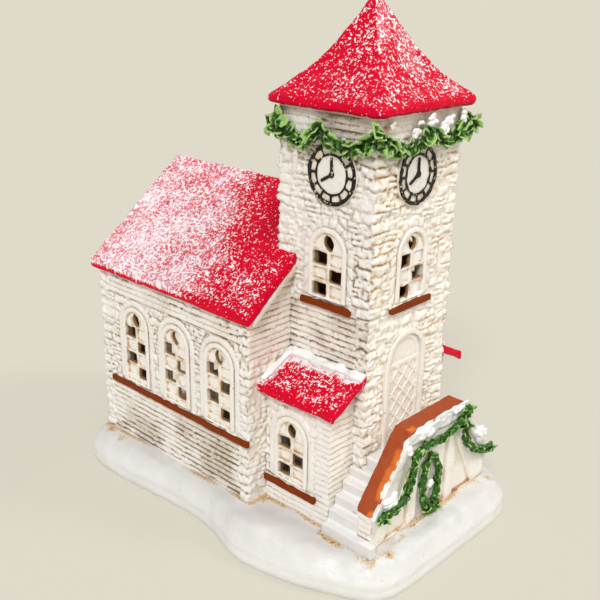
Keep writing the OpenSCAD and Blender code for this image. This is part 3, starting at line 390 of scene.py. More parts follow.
def snow_glaze():
    """Thick white glaze over the modelled snow: smooth and a little cold in tint, with a sandy crust where
    the wash settled beside the walls and a few kiln specks. Painted light whitens the parts marked as lit."""
    made, tree, place = new_finish(
        "thick_snow_glaze", Roughness=0.4, IOR=1.45, Coat_Weight=0.15, Coat_Roughness=0.25)
    cloud = add(tree, "TexNoise", {"Vector": place, "Scale": per_mm(9), "Detail": 5.0, "Roughness": 0.6})
    body = add(tree, "Mix", {0: cloud, 6: "#EAE8E5", 7: "#D4D1CC"}, out=2, data_type="RGBA")
    # Painted light: a whiter body where the snow is marked as lit, on tops and treads, on the base's
    # flanks, and on the drift and clumps
    painted_light = add(tree, "Attribute", out="Fac", attribute_name="painted_light")
    body = add(tree, "Mix", {0: painted_light, 6: body, 7: "#FCFBF9"}, out=2, data_type="RGBA")
    rub = add(tree, "TexNoise", {"Vector": place, "Scale": per_mm(0.9), "Detail": 3.0, "Roughness": 0.65})
    crust = add(tree, "Attribute", out="Fac", attribute_name="crust")
    broken = add(tree, "Math", {0: rub, 1: 0.5}, operation="SUBTRACT")
    uneven = add(tree, "Math", {0: broken, 1: 2.2, 2: crust}, operation="MULTIPLY_ADD")
    thin = add(tree, "MapRange", {0: uneven, 1: 0.35, 2: 0.7, 4: 0.9})
    thick = add(tree, "MapRange", {0: uneven, 1: 0.85, 2: 1.1, 4: 0.85})
    sand = add(tree, "Mix", {0: thin, 6: body, 7: "#D6B484"}, out=2, data_type="RGBA")
    brown = add(tree, "Mix", {0: thick, 6: sand, 7: "#96622F"}, out=2, data_type="RGBA")
    speck = add(tree, "TexNoise", {"Vector": place, "Scale": per_mm(1.2), "Detail": 1.0})
    kiln = add(tree, "MapRange", {0: speck, 1: 0.76, 2: 0.81, 4: 0.55})
    specked = add(tree, "Mix", {0: kiln, 6: brown, 7: "#B08E60"}, out=2, data_type="RGBA")
    soft = add(tree, "TexNoise", {"Vector": place, "Scale": per_mm(2.2), "Detail": 4.0, "Roughness": 0.6})
    dimple = add(tree, "Bump", {"Height": soft, "Distance": 0.55 * MM, "Strength": 0.6})
    crumbs = add(tree, "Math", {0: rub, 1: crust}, operation="MULTIPLY")
    grit = add(tree, "Bump", {"Height": crumbs, "Distance": 0.5 * MM, "Strength": 0.8, "Normal": dimple})
    return joined(made, Base_Color=specked, Normal=grit)


def flocked_red_glaze():
    """Glossy red glaze under white flock: pink powder, and fibres half a millimetre wide and about
    two long that lie across each other and close up to white where the flock is thick. The red is
    darker where a roof is marked shaded: painted shadow."""
    made, tree, place = new_finish("flocked_red_glaze", IOR=1.4, Specular_IOR_Level=0.1)
    flock = add(tree, "Attribute", out="Fac", attribute_name="flock")
    # Each lay of fibres is turned and stretched its own way
    lays = ((1.0, 0.3, 0.6), (0.3, 1.0, 0.6), (0.75, 0.75, 0.25), (0.8, 0.8, 1.0))
    fibres = None
    for turn, stretch in enumerate(lays):
        lie = add(tree, "Mapping", {"Vector": place, "Rotation": (0.0, 0.0, 0.6 * turn), "Scale": stretch})
        strand = add(tree, "TexNoise", {"Vector": lie, "Scale": per_mm(0.8), "Detail": 1.0})
        fibres = strand if fibres is None else add(
            tree, "Math", {0: fibres, 1: strand}, operation="MAXIMUM")
    needed = add(tree, "MapRange", {0: flock, 3: 0.74, 4: 0.54})
    over = add(tree, "Math", {0: fibres, 1: needed}, operation="SUBTRACT")
    white_share = add(tree, "MapRange", {0: over, 1: -0.006, 2: 0.02})
    fine = add(tree, "TexNoise", {"Vector": place, "Scale": per_mm(0.55), "Detail": 2.0, "Roughness": 0.6})
    dusty = add(tree, "MapRange", {0: flock, 1: 0.48, 2: 0.95, 4: 0.95})
    gaps = add(tree, "MapRange", {0: fine, 1: 0.38, 2: 0.48})
    powder = add(tree, "Math", {0: dusty, 1: gaps}, operation="MULTIPLY")
    pool = add(tree, "TexNoise", {"Vector": place, "Scale": per_mm(7), "Detail": 3.0})
    red = add(tree, "Mix", {0: pool, 6: "#E80333", 7: "#C80026"}, out=2, data_type="RGBA")
    # Painted shadow: darker red where a roof is marked as shaded
    painted_shadow = add(tree, "Attribute", out="Fac", attribute_name="painted_shadow")
    shaded = add(tree, "Mix", {0: painted_shadow, 6: red, 7: "#8A0016"}, out=2, data_type="RGBA")
    pink = add(tree, "Mix", {0: powder, 6: shaded, 7: "#F7B7C2"}, out=2, data_type="RGBA")
    white = add(tree, "Mix", {0: white_share, 6: pink, 7: "#FDF1F3"}, out=2, data_type="RGBA")
    matt = add(tree, "MapRange", {0: white_share, 3: 0.32, 4: 0.85})
    grit = add(tree, "Bump", {"Height": white_share, "Distance": 0.3 * MM, "Strength": 0.6})
    return joined(made, Base_Color=white, Roughness=matt, Normal=grit)


def brushed_brown_glaze():
    """Brown glaze laid on with a brush: redder and thin to orange where a stroke ran out, and under
    white glaze where the snow lies over its edge."""
    made, tree, place = new_finish(
        "brushed_brown_glaze", Roughness=0.4, IOR=1.4, Specular_IOR_Level=0.12)
    stroke = add(tree, "TexNoise", {"Vector": place, "Scale": per_mm(4), "Detail": 4.0, "Roughness": 0.6})
    pale = add(tree, "Attribute", out="Fac", attribute_name="pale")
    sill = add(tree, "Mix", {0: stroke, 6: "#8E3A06", 7: "#702A02"}, out=2, data_type="RGBA")
    coping = add(tree, "Mix", {0: stroke, 6: "#B05632", 7: "#A04624"}, out=2, data_type="RGBA")
    brown = add(tree, "Mix", {0: pale, 6: sill, 7: coping}, out=2, data_type="RGBA")
    bare = add(tree, "Attribute", out="Fac", attribute_name="thin")
    broken = add(tree, "Math", {0: stroke, 1: 0.5}, operation="SUBTRACT")
    uneven = add(tree, "Math", {0: broken, 1: 1.6, 2: bare}, operation="MULTIPLY_ADD")
    light = add(tree, "MapRange", {0: uneven, 1: 0.45, 2: 0.9})
    orange = add(tree, "Mix", {0: light, 6: brown, 7: "#E27634"}, out=2, data_type="RGBA")
    snowy = add(tree, "Attribute", out="Fac", attribute_name="snowy")
    edge = add(tree, "MapRange", {0: snowy, 1: 0.45, 2: 0.55})
    covered = add(tree, "Mix", {0: edge, 6: orange, 7: "#F1EDE6"}, out=2, data_type="RGBA")
    grit = add(tree, "Bump", {"Height": stroke, "Distance": 0.3 * MM, "Strength": 0.4})
    return joined(made, Base_Color=covered, Normal=grit)


def shaded_green_glaze():
    """Green glaze in three tones, as painted shade and highlight: almost black between the leaves, and
    pale along their edges and ribs."""
    made, tree, place = new_finish(
        "shaded_green_glaze", Roughness=0.42, IOR=1.4, Specular_IOR_Level=0.2, Coat_Weight=0.15,
        Coat_Roughness=0.15)
    # Painted shade and highlight: a mark from dark between the leaves to pale on their edges picks the
    # green
    leaf_shade_and_highlight = add(tree, "Attribute", out="Fac", attribute_name="leaf_shade_and_highlight")
    rub = add(tree, "TexNoise", {"Vector": place, "Scale": per_mm(1.3), "Detail": 2.0})
    broken = add(tree, "Math", {0: rub, 1: 0.5}, operation="SUBTRACT")
    uneven = add(tree, "Math", {0: broken, 1: 0.9, 2: leaf_shade_and_highlight}, operation="MULTIPLY_ADD")
    middle = add(tree, "MapRange", {0: uneven, 1: 0.08, 2: 0.5})
    tip = add(tree, "MapRange", {0: uneven, 1: 0.6, 2: 1.1})
    leaf = add(tree, "Mix", {0: middle, 6: "#1B2706", 7: "#3B7020"}, out=2, data_type="RGBA")
    pale = add(tree, "Mix", {0: tip, 6: leaf, 7: "#A6C878"}, out=2, data_type="RGBA")
    return joined(made, Base_Color=pale)


def line_black_glaze():
    """Black glaze drawn in lines with a fine brush, chipped down to the tan body here and there."""
    made, tree, place = new_finish("line_black_glaze", Roughness=0.42, IOR=1.4)
    chip = add(tree, "TexNoise", {"Vector": place, "Scale": per_mm(1.3), "Detail": 2.0})
    edge = add(tree, "MapRange", {0: chip, 1: 0.63, 2: 0.67})
    ink = add(tree, "Mix", {0: edge, 6: "#0B0907", 7: "#D8C09A"}, out=2, data_type="RGBA")
    return joined(made, Base_Color=ink)


def moulded(name, code, second, size, roughness, **sockets):
    """A small part of the tea light: its two close colours drift over a size in millimetres."""
    made, tree, place = new_finish(name, Roughness=roughness, **sockets)
    drift = add(tree, "TexNoise", {"Vector": place, "Scale": per_mm(size), "Detail": 3.0})
    colour = add(tree, "Mix", {0: drift, 6: code, 7: second}, out=2, data_type="RGBA")
    skin = add(tree, "Bump", {"Height": drift, "Distance": 0.05 * MM, "Strength": 0.3})
    return joined(made, Base_Color=colour, Normal=skin)


# The finish of each of the record's material slots
FINISH = {
    "cream_glaze": antiqued_cream_glaze(),
    "snow_glaze": snow_glaze(),
    "red_roof": flocked_red_glaze(),
    "brown_paint": brushed_brown_glaze(),
    "green_paint": shaded_green_glaze(),
    "black_paint": line_black_glaze(),
    # Polypropylene that imitates wax: light goes in a little way, so its edges glow
    "wax_plastic": moulded("waxy_polypropylene", "#F3EAD2", "#EADFC2", 6, 0.55, IOR=1.49,
                           Subsurface_Weight=0.3, Subsurface_Radius=(0.004, 0.003, 0.002)),
    # Frosted silicone flame, tinted amber through and through
    "flame_plastic": moulded("frosted_amber_silicone", "#FFC773", "#F7AE4E", 5, 0.45, IOR=1.41,
                             Transmission_Weight=0.45),
    # Clear epoxy cap of the lamp
    "led_lens": moulded("clear_epoxy", "#FFF8E6", "#F6EED8", 2, 0.08, IOR=1.55, Transmission_Weight=0.8),
    # Solder mask on a glass fibre board: an even, glossy green
    "board": moulded("green_solder_mask", "#0E5A2C", "#0A4A24", 4, 0.28, IOR=1.5),
    # Nickel plated steel, drawn and stamped
    "cell_metal": moulded("nickel_plated_steel", "#C9C8C4", "#B4B3AF", 2, 0.3, Metallic=1.0),
    # Spring bronze, rolled and stamped
    "contact_metal": moulded("rolled_spring_bronze", "#D9B36A", "#C79F55", 1.5, 0.3, Metallic=1.0),
    # ABS for the switch, moulded with a fine spark grain
    "switch_plastic": moulded("black_abs", "#1B1B1C", "#141415", 1, 0.5, IOR=1.54),
}

# Walls

# Each side of a block of walls: its axis, and which way along it the side faces
WALL_SIDES = {"left": (0, -1), "right": (0, 1), "front": (1, -1), "back": (1, 1)}
# Widths of a window's trim, of the ring of stones round it and of the door's moulding, and the turn
# of one stone of a ring in degrees
TRIM_W = 1.6
BAND_W = 2.9
DOOR_TRIM_W = 2.2
VOUSSOIR_TURN = 18
# What belongs to the flat face of a wall: points this near its plane that face outwards this much, or
# that are this far from its edges and its openings
FACE_DEPTH = 1.1
FACING = 0.45
EDGE_CLEAR = 1.2
OPENING_CLEAR = 0.9
# The most that a stone is cut back or stands out
CUT_BACK = 1.2
STAND_OUT = 1.0
# Height over which one kind of masonry gives way to another
JOIN = 0.8

tower_low, tower_high = span("tower_walls")
nave_low, nave_high = span("nave_walls")
# Heights on the walls: the sills, the nave's eaves, the top of its stones, the foot of the tower's
# frieze, where the roofs of the annexes meet the tower, and the landing before the annexes' fronts
NAVE_SILL, TOWER_SILL, ANNEX_SILL = [span(f"{part}_sills")[0][2] for part in ("nave", "tower", "annex")]
NAVE_EAVE = 80.5
NAVE_STONES_TOP = 17 * COURSE_H
TOWER_FRIEZE = tower_high[2] - 8.5
ANNEX_ROOF_TOP = 63.5
LANDING_TOP = span("landing")[1][2]
ANNEX_FRONT = span("left_annex_walls")[0][1]

# An arched opening: its side, its middle across that side, its foot, its width, and its height up to
# where the arch begins
Opening = namedtuple("Opening", "side middle foot width rise")
# Openings are read to a twentieth of a millimetre, as their corners in the mesh are a little off
STEPS_IN_A_MM = 20


def opening_in(solid, margin):
    """The arched opening inside a moulding that goes round it, a margin wide."""
    low, high = solid
    size = high - low
    across_x = size[0] > size[1]
    side = "front" if across_x else ("left" if low[0] < 0 else "right")
    axis = 0 if across_x else 1
    width = size[axis] - 2 * margin
    found = ((low[axis] + high[axis]) / 2, low[2], width, size[2] - margin - width / 2)
    return Opening(side, *[round(float(value) * STEPS_IN_A_MM) / STEPS_IN_A_MM for value in found])


NAVE_WINDOWS, TOWER_WINDOWS, ANNEX_WINDOWS = [
    [opening_in(solid, TRIM_W) for solid in solids_of(f"{part}_windows")]
    for part in ("nave", "tower", "annex")]
DOOR = opening_in(span("door_surround"), DOOR_TRIM_W)
# The arch for the tea light has no moulding
TEA_ARCH = Opening("back", 0.0, 0.0, 46.0, 24.0)


def inside_of(points, low, high):
    """1 for points in the room behind the walls, and 0 on the outer faces."""
    depth = np.minimum(np.minimum(points[:, 0] - low[0], high[0] - points[:, 0]),
                       np.minimum(points[:, 1] - low[1], high[1] - points[:, 1]))
    return ease(depth, 1.4, 2.6)


def patches(points, size, seed, least=0.0):
    """Where the brown wash was left on and where it was wiped off."""
    return np.clip(least + 0.45 + 0.9 * grain(points, size, seed), least, 1)


def ring_round(here, gap, u, v, opening, seed):
    """Cover and height of the ring of stones round a window, and the lines beside it."""
    above = ease(v - opening.foot, -0.4, 0.6)
    inner = 1 - ease(gap, TRIM_W, TRIM_W + 0.4)
    band = (1 - ease(gap, TRIM_W + BAND_W - 0.3, TRIM_W + BAND_W + 0.3)) * above
    edge = np.abs(gap - TRIM_W - BAND_W - 0.3)
    rim = np.exp(-((gap - TRIM_W - 0.2) / 0.35) ** 2) + np.exp(-(edge / 0.45) ** 2)
    height = 0.35 + 0.18 * grain(here, 2.4, seed)
    if opening in TOWER_WINDOWS:
        angle = np.degrees(np.arctan2(v - opening.foot - opening.rise, u - opening.middle))
        turn = np.abs(((angle / VOUSSOIR_TURN) % 1) - 0.5) * 2
        height = height - 0.45 * ease(turn, 0.72, 1.0)
        rim = np.maximum(rim, ease(turn, 0.85, 1.0) * (v > opening.foot))
    return band, np.where(inner > 0.5, 0, height) - 0.4 * rim * above, rim * above


# What one side of a block of walls looks like, as numbers or as one number a point: the share of laps
# among the stones and where their first row starts, the wash under the laps, the wash in all hollows,
# how warm the glaze and its wash look, which is painted light, warm in the sun and grey in shade, the
# stain all over, where the first stone starts, and how plain the face is
Face = namedtuple("Face", "lap lap_foot lap_wash wash warm stain start plain", defaults=(0.0, 0.0, 0.0))


def dress(points, normals, low, high, openings, style, sides, seed):
    """Gives the outer faces of a block of walls their stones, laps and rings, drawn on the flat face
    itself, and says where the wash stayed. style gives the Face of each side."""
    moved = points.copy()
    marks = {name: np.zeros(len(points)) for name in ("wash", "hollow_wash_and_shade", "warm")}
    for number, side in enumerate(sides):
        axis, sign = WALL_SIDES[side]
        plane = (low if sign < 0 else high)[axis]
        depth = (plane - points[:, axis]) * sign
        across, up = points[:, 1 - axis], points[:, 2]
        first, last = low[1 - axis], high[1 - axis]
        top = min(high[2] - EDGE_CLEAR, NAVE_EAVE if side == "back" else high[2])
        clear = (np.minimum(across - first, last - across) > EDGE_CLEAR) & (up > EDGE_CLEAR) & (up < top)
        own = [opening for opening in openings if opening.side == side]
        for opening in own:
            gap = arch_gap(across - opening.middle, up - opening.foot, opening.width, opening.rise)
            clear &= gap > OPENING_CLEAR
        facing = normals[:, axis] * sign > FACING
        on = np.nonzero((depth < FACE_DEPTH) & (facing | clear))[0]
        here = points[on]
        u, v = here[:, 1 - axis], here[:, 2]
        face = style(side, here, u, v)
        edge = np.minimum(u - first, last - u)
        stone_h, stone_line = rubble(here, u - face.start, v, edge, seed + 20 * number)
        lap_h, lap_line = laps(here, v - face.lap_foot, seed + 20 * number + 12)
        height = (stone_h * (1 - face.lap) + lap_h * face.lap) * (1 - face.plain)
        line = 0.3 * stone_line * (1 - face.lap) + face.lap_wash * lap_line * face.lap
        for opening in own:
            gap = arch_gap(u - opening.middle, v - opening.foot, opening.width, opening.rise)
            if opening in (DOOR, TEA_ARCH):
                band = 1 - ease(gap, DOOR_TRIM_W, DOOR_TRIM_W + 0.6)
                own_h, rim = np.zeros(len(u)), np.exp(-((gap - DOOR_TRIM_W - 0.4) / 0.4) ** 2)
            else:
                band, own_h, rim = ring_round(here, gap, u, v, opening, seed)
            height = height * (1 - band) + own_h * band
            line = np.maximum(line * (1 - band), 0.22 * rim)
        moved[on, axis] = plane + sign * np.clip(height, -CUT_BACK, STAND_OUT)
        marks["wash"][on] = line * face.wash + face.stain
        # Wash in the hollows, partly painted shade of the stones' joints
        marks["hollow_wash_and_shade"][on] = face.wash * (0.65 - 0.2 * face.warm) * (1 - 0.4 * face.plain)
        # Painted light: warmth is high on faces in the sun and low on faces in shade
        marks["warm"][on] = face.warm
    return moved, marks


def nave_style(side, here, u, v):
    """Laps below the sill and under the eaves, stones between them."""
    if side in ("left", "right"):
        between_quoins = ease(np.minimum(u - nave_low[1], nave_high[1] - u), QUOIN_L - 0.3, QUOIN_L + 0.3)
        low = 1 - ease(v, NAVE_SILL, NAVE_SILL + JOIN)
        lap = np.maximum(low, ease(v, NAVE_STONES_TOP - 0.5, NAVE_STONES_TOP + 0.5)) * between_quoins
        under = v < NAVE_STONES_TOP / 2
        faint = np.where(under, 1.0, 0.55)
        return Face(lap, np.where(under, 0, NAVE_STONES_TOP + 1.0), 1.5 * faint, start=nave_low[1],
                    wash=0.54 + 0.62 * patches(here, 15, 31), warm=0.2,
                    stain=0.5 * lap * faint * patches(here, 9, 34))
    foot = ANNEX_ROOF_TOP - 2 if side == "front" else NAVE_EAVE - 1
    return Face(ease(v, foot, foot + 1), ANNEX_ROOF_TOP, 1.3, wash=0.4 + 0.6 * patches(here, 12, 33),
                warm=0.85)


def tower_style(side, here, u, v):
    """Stones, with laps below the sills of its sides and fainter ones behind the garland."""
    frieze = ease(v, TOWER_FRIEZE - JOIN, TOWER_FRIEZE + JOIN)
    if side == "front":
        near = 1 - ease(u - tower_low[0], 5, 13)
        blotch = ease(grain(here, 3.2, 41), 0.2, 0.9) * patches(here, 16, 42)
        smudge = frieze * (1 - ease(u - tower_low[0], 2, 9)) * ease(grain(here, 3, 45), -0.4, 0.4)
        return Face(frieze, TOWER_FRIEZE, 0.5, plain=0.5 * frieze, warm=1.0,
                    wash=0.5 + 0.55 * patches(here, 12, 43) + 0.3 * near,
                    stain=0.3 * blotch * (0.4 + 0.7 * near) + 0.8 * smudge)
    above_roof = ease(v, ANNEX_ROOF_TOP - 3, ANNEX_ROOF_TOP - 2)
    lap = above_roof * (1 - ease(v, TOWER_SILL, TOWER_SILL + JOIN))
    past_quoin = ease(u, QUOIN_L - 0.4, QUOIN_L + 0.4)
    foot = np.where(v < TOWER_FRIEZE - 2, ANNEX_ROOF_TOP, TOWER_FRIEZE)
    return Face(np.maximum(lap * past_quoin, frieze), foot, 0.8, plain=0.5 * frieze,
                wash=0.52 + 0.65 * patches(here, 14, 44), warm=0.15,
                stain=0.5 * np.maximum(lap, 0.8 * frieze) * patches(here, 8, 46))


def annex_style(side, here, u, v):
    """Laps below the sill and beside the window on the outer wall, and all over the front wall."""
    if side == "front":
        return Face(1.0, LANDING_TOP, 1.0, wash=0.35 + 0.5 * patches(here, 9, 52), warm=0.85)
    beside = 1 - ease(u - ANNEX_FRONT, 7.1, 8.1)
    lap = np.maximum(1 - ease(v, ANNEX_SILL + 0.2, ANNEX_SILL + 0.2 + JOIN), beside)
    return Face(lap, 0.0, 1.0, wash=0.4 + 0.7 * patches(here, 10, 51), warm=0.2, start=ANNEX_FRONT)


def wall_relief(node, openings, style, sides, seed):
    """Relief of a block of walls: its outer sides are dressed, and its room is left plain."""
    low, high = span(node)

    def relief(points, normals):
        moved, marks = dress(points, normals, low, high, openings, style, sides, seed)
        return moved, {**marks, "inside": inside_of(points, low, high)}
    return relief


cast("nave_masonry", "nave_walls", "cream_glaze",
     wall_relief("nave_walls", NAVE_WINDOWS + [TEA_ARCH], nave_style, WALL_SIDES, 100),
     voxel=0.48, keep=0.36)
cast("tower_masonry", "tower_walls", "cream_glaze",
     wall_relief("tower_walls", TOWER_WINDOWS + [DOOR], tower_style, WALL_SIDES, 200),
     voxel=0.45, keep=0.34)
for hand in ("left", "right"):
    cast(f"{hand}_annex_masonry", f"{hand}_annex_walls", "cream_glaze",
         wall_relief(f"{hand}_annex_walls", ANNEX_WINDOWS, annex_style, (hand, "front"), 300), keep=0.6)

# Windows, door and clocks

# Size of the cells in which a mark is smeared over a face, and how often that is done
SMEAR_CELL = 0.6
SMEAR_ROUNDS = 2
# Depths in a window where its open panes go through it, and where its back begins
PANE_DEPTHS = (1.9, 2.7)
BACK_DEPTH = 1.9


def smeared(face, across, up, chosen):
    """How near each point of a face lies to the chosen ones, from 1 at them to 0 about 1.5 mm off."""
    border = SMEAR_ROUNDS + 1
    row = np.round((across - across.min()) / SMEAR_CELL).astype(int) + border
    step = np.round((up - up.min()) / SMEAR_CELL).astype(int) + border
    cells = np.zeros((face.max() + 1, row.max() + border + 1, step.max() + border + 1))
    cells[face[chosen], row[chosen], step[chosen]] = 1
    for _ in range(SMEAR_ROUNDS):
        cells = sum(np.roll(cells, (i, j), (1, 2)) for i in (-1, 0, 1) for j in (-1, 0, 1)) / 4
    return np.clip(cells[face, row, step], 0, 1)


def window_relief(node, windows):
    """Tan wash in the corners of the bars, and brown round and inside each open pane, partly painted shade
    that grows deeper into the panes.
    """
    low, high = span(node)

    def relief(points, normals):
        gaps = np.array([points[:, 0] - low[0], high[0] - points[:, 0], points[:, 1] - low[1]])
        depth, face = gaps.min(axis=0), gaps.argmin(axis=0)
        across = np.where(face < 2, points[:, 1], points[:, 0])
        facing = np.abs(np.where(face < 2, normals[:, 0], normals[:, 1]))
        within = np.zeros(len(points), bool)
        for side, middle, foot, width, rise in windows:
            here = face == ("left", "right", "front").index(side)
            within |= here & (arch_gap(across - middle, points[:, 2] - foot, width, rise) < -0.8)
        through = (facing < 0.4) & (depth > PANE_DEPTHS[0]) & (depth < PANE_DEPTHS[1]) & within
        rim = smeared(face, across, points[:, 2], through)
        # Painted shade: the reveals of the open panes are browner the deeper they go
        reveal_shade = rim * (1 - ease(facing, 0.3, 0.7)) * (0.35 + 0.6 * ease(depth, 0.1, 1.2))
        edge = 0.6 * rim * ease(grain(points, 2.2, 61), -0.7, 0.5)
        return 0.1 * grain(points, 1.6, 62) + 0.25 * rim * grain(points, 1.8, 63), {
            "wash": np.maximum(edge, 0.9 * ease(depth, BACK_DEPTH - 0.05, BACK_DEPTH + 0.25)),
            "hollow_wash_and_shade": 0.75, "warm": 0.75,
            "inside": np.maximum(reveal_shade, ease(depth, BACK_DEPTH, BACK_DEPTH + 0.3))}
    return relief


for part, windows in (("nave", NAVE_WINDOWS), ("tower", TOWER_WINDOWS), ("annex", ANNEX_WINDOWS)):
    cast(f"{part}_window_frames", f"{part}_windows", "cream_glaze",
         window_relief(f"{part}_windows", windows), voxel=0.36, keep=0.5)


def washed(amount, size, seed, rough=0.12, warm=0.6):
    """A plain glazed piece whose wash lies in patches of a size, and in its corners."""
    def relief(points, normals):
        return rough * grain(points, 1.8, seed), {
            "wash": amount * patches(points, size, seed + 1), "hollow_wash_and_shade": 0.5, "warm": warm}
    return relief


def door_relief(points, normals):
    """The wash settles between the bars of the lattice."""
    back = points[:, 1] - span("door_leaf")[0][1]
    low = ease(back, 0.25, 0.5)
    return 0.1 * grain(points, 1.5, 71), {
        "wash": 0.3 * low * patches(points, 6, 72, 0.25), "hollow_wash_and_shade": 0.6, "warm": 1.0}


cast("door_lattice", "door_leaf", "cream_glaze", door_relief, voxel=0.3, keep=0.6)
cast("door_moulding", "door_surround", "cream_glaze", washed(0.15, 5, 73, warm=1.0), voxel=0.32, soft=1)
cast("gable_boards", "bargeboards", "cream_glaze", washed(0.45, 7, 74, 0.3), voxel=0.5, soft=2)

# Middle of the clocks up and across their faces, and their radius
left_dial, front_dial = solids_of("clock_dials")[:2]
CLOCK_Z = (left_dial[0][2] + left_dial[1][2]) / 2
CLOCK_R = (left_dial[1][2] - left_dial[0][2]) / 2
CLOCK_FRONT_X = (front_dial[0][0] + front_dial[1][0]) / 2
CLOCK_SIDE_Y = (left_dial[0][1] + left_dial[1][1]) / 2
# Shares of the radius between which the plain middle of a dial gives way to the cells round it
CELLS_FROM = (0.62, 0.7)


def dial_relief(points, normals):
    """Tan body shows in the cells between the rings of a clock, and the dial inside them is pale."""
    on_front = points[:, 1] < front_dial[1][1] + 1
    across = np.where(on_front, points[:, 0] - CLOCK_FRONT_X, points[:, 1] - CLOCK_SIDE_Y)
    cells = ease(np.hypot(across, points[:, 2] - CLOCK_Z) / CLOCK_R, *CELLS_FROM)
    return 0.1 * grain(points, 2, 75), {
        "wash": cells * (0.1 + 0.5 * patches(points, 2.5, 76)), "hollow_wash_and_shade": 0.25, "warm": 0.2 + 0.8 * cells}


def line_relief(swell, grow):
    """The brush line swells and thins about its own width."""
    return lambda points, normals: (swell * grain(points, 1.7, 77) + grow, {})


cast("clock_faces", "clock_dials", "cream_glaze", dial_relief, voxel=0.35, soft=1, keep=0.5)
cast("clock_rings", "clock_markings", "black_paint", line_relief(0.24, -0.14), voxel=0.24, soft=1, keep=0.5)
cast("clock_pointers", "clock_hands", "black_paint", line_relief(0.16, 0.12), voxel=0.18, soft=1)

# Roofs


def flocked(points, cover, seed, painted_shadow=0.0):
    """Relief of a roof: soft lumps in the clay, and the cover of flock in drifts of two sizes, with the
    painted shadow passed on to the glaze.
    """
    flock = cover + 0.13 * grain(points, 5.5, seed) + 0.08 * grain(points, 2.4, seed + 1)
    height = 0.35 * grain(points, 8, seed + 3) + 0.2 * grain(points, 3.2, seed + 5)
    height = height + 0.12 * grain(points, 1.6, seed + 4) * ease(flock, 0.1, 0.4)
    return height, {"flock": flock, "painted_shadow": np.broadcast_to(painted_shadow, len(points))}


# Places on the nave's roof. Along it: where the far end begins, where the flock grows thick, how far
# behind the tower it stays thin, and how far the tower's painted shadow reaches. Up it: where it is
# thin, and where the tower's painted shadow lies
FAR_END = (62, 82)
THICK_FLOCK = (50, 92)
BEHIND_TOWER = (8, 52)
THIN_UPPER = (90, 112)
TOWER_SHADOW_ALONG = (2, 24)
TOWER_SHADOW_UPPER = (100, 113)


def nave_roof_relief(points, normals):
    """Thick flock in the middle of the slope, thinner towards the tower, a bare red edge, and the tower's
    shadow painted on the top of the slope beside it.
    """
    low, high = span("nave_roof")
    up = ease(normals[:, 2], 0.25, 0.6)
    from_eave = np.minimum(points[:, 0] - low[0], high[0] - points[:, 0])
    far = ease(points[:, 1], *FAR_END)
    eave = np.maximum(ease(from_eave, 0.3, 1.8), far)
    verge = ease(points[:, 1] - low[1], 0.8, 3.5)
    thick = ease(points[:, 1], *THICK_FLOCK) * (0.55 + 0.45 * ease(np.abs(points[:, 0]), 8, 26))
    by_tower = 1 - ease(points[:, 1] - tower_high[1], *BEHIND_TOWER)
    upper = ease(points[:, 2], *THIN_UPPER)
    cover = 0.525 + 0.26 * thick - by_tower * (0.06 + 0.46 * upper) + 0.1 * grain(points, 19, 81)
    cover = cover * (0.15 + 0.85 * eave) * (0.3 + 0.7 * verge)
    sideways = ease(np.abs(normals[:, 0]) - np.abs(normals[:, 1]), -0.2, 0.3)
    over_edge = sideways * ease(points[:, 2] - low[2], 1.0, 3.0)
    hanging = over_edge * (0.15 + 0.75 * far + 0.2 * grain(points, 6, 83)) - 0.4 * (1 - over_edge)
    # Painted shadow of the tower on the nave roof, near the ridge beside it
    shade = (1 - ease(points[:, 1] - tower_high[1], *TOWER_SHADOW_ALONG)) * ease(points[:, 2], *TOWER_SHADOW_UPPER)
    height, marks = flocked(points, cover * up + hanging * (1 - up), 82, shade)
    return height + 0.5 * (1 - ease(from_eave, 1, 6)) * grain(points, 11, 84), marks


def tower_roof_relief(points, normals):
    """Flock over the slopes, thicker on the front, a bare red eave, and painted shade on the faces that
    look down under the eave.
    """
    foot = span("tower_roof")[0][2]
    up = ease(normals[:, 2], 0.2, 0.5)
    eave = ease(points[:, 2] - foot, 2.6, 5.2)
    front = ease(-normals[:, 1], 0.1, 0.6)
    cover = 0.12 + eave * (0.23 + 0.14 * front) + 0.09 * grain(points, 15, 86)
    # Painted shade under the eave: faces that look down are darker red
    hollow = ease(-normals[:, 2], 0.1, 0.4)
    return flocked(points, cover * up - 0.5 * (1 - up), 87, 0.5 * hollow)


def annex_roof_relief(hand):
    """Even flock on a lean-to roof, with a bare red eave."""
    low, high = span(f"{hand}_annex_roof")
    wall = high[0] if hand == "left" else low[0]

    def relief(points, normals):
        up = ease(normals[:, 2], 0.3, 0.6)
        from_wall = np.abs(points[:, 0] - wall)
        width = high[0] - low[0]
        eave = 1 - ease(from_wall, width - 3.2, width - 0.6)
        verge = ease(points[:, 1] - low[1], 0.3, 2.5)
        from_top = np.minimum(from_wall, 1.1 * (high[1] - points[:, 1])) + 0.9 * grain(points, 3, 93)
        snowy = 1 - ease(from_top, 3.0, 6.0)
        cover = (0.37 + 0.06 * grain(points, 10, 91)) * (0.25 + 0.75 * eave) + 0.7 * snowy
        return flocked(points, cover * (0.45 + 0.55 * verge) * up - 0.4 * (1 - up), 92)
    return relief


cast("nave_roof_slab", "nave_roof", "red_roof", nave_roof_relief, voxel=0.6, soft=9, keep=0.5)
cast("tower_roof_cap", "tower_roof", "red_roof", tower_roof_relief, voxel=0.45, soft=5, keep=0.6)
for hand in ("left", "right"):
    cast(f"{hand}_annex_roof_slab", f"{hand}_annex_roof", "red_roof", annex_roof_relief(hand), soft=5)

# Snow

ROOMS = [span(node) for node in ("nave_walls", "tower_walls", "left_annex_walls", "right_annex_walls")]
STAIR = [span(node) for node in ("landing", "left_steps", "right_steps", "stair_wall")]


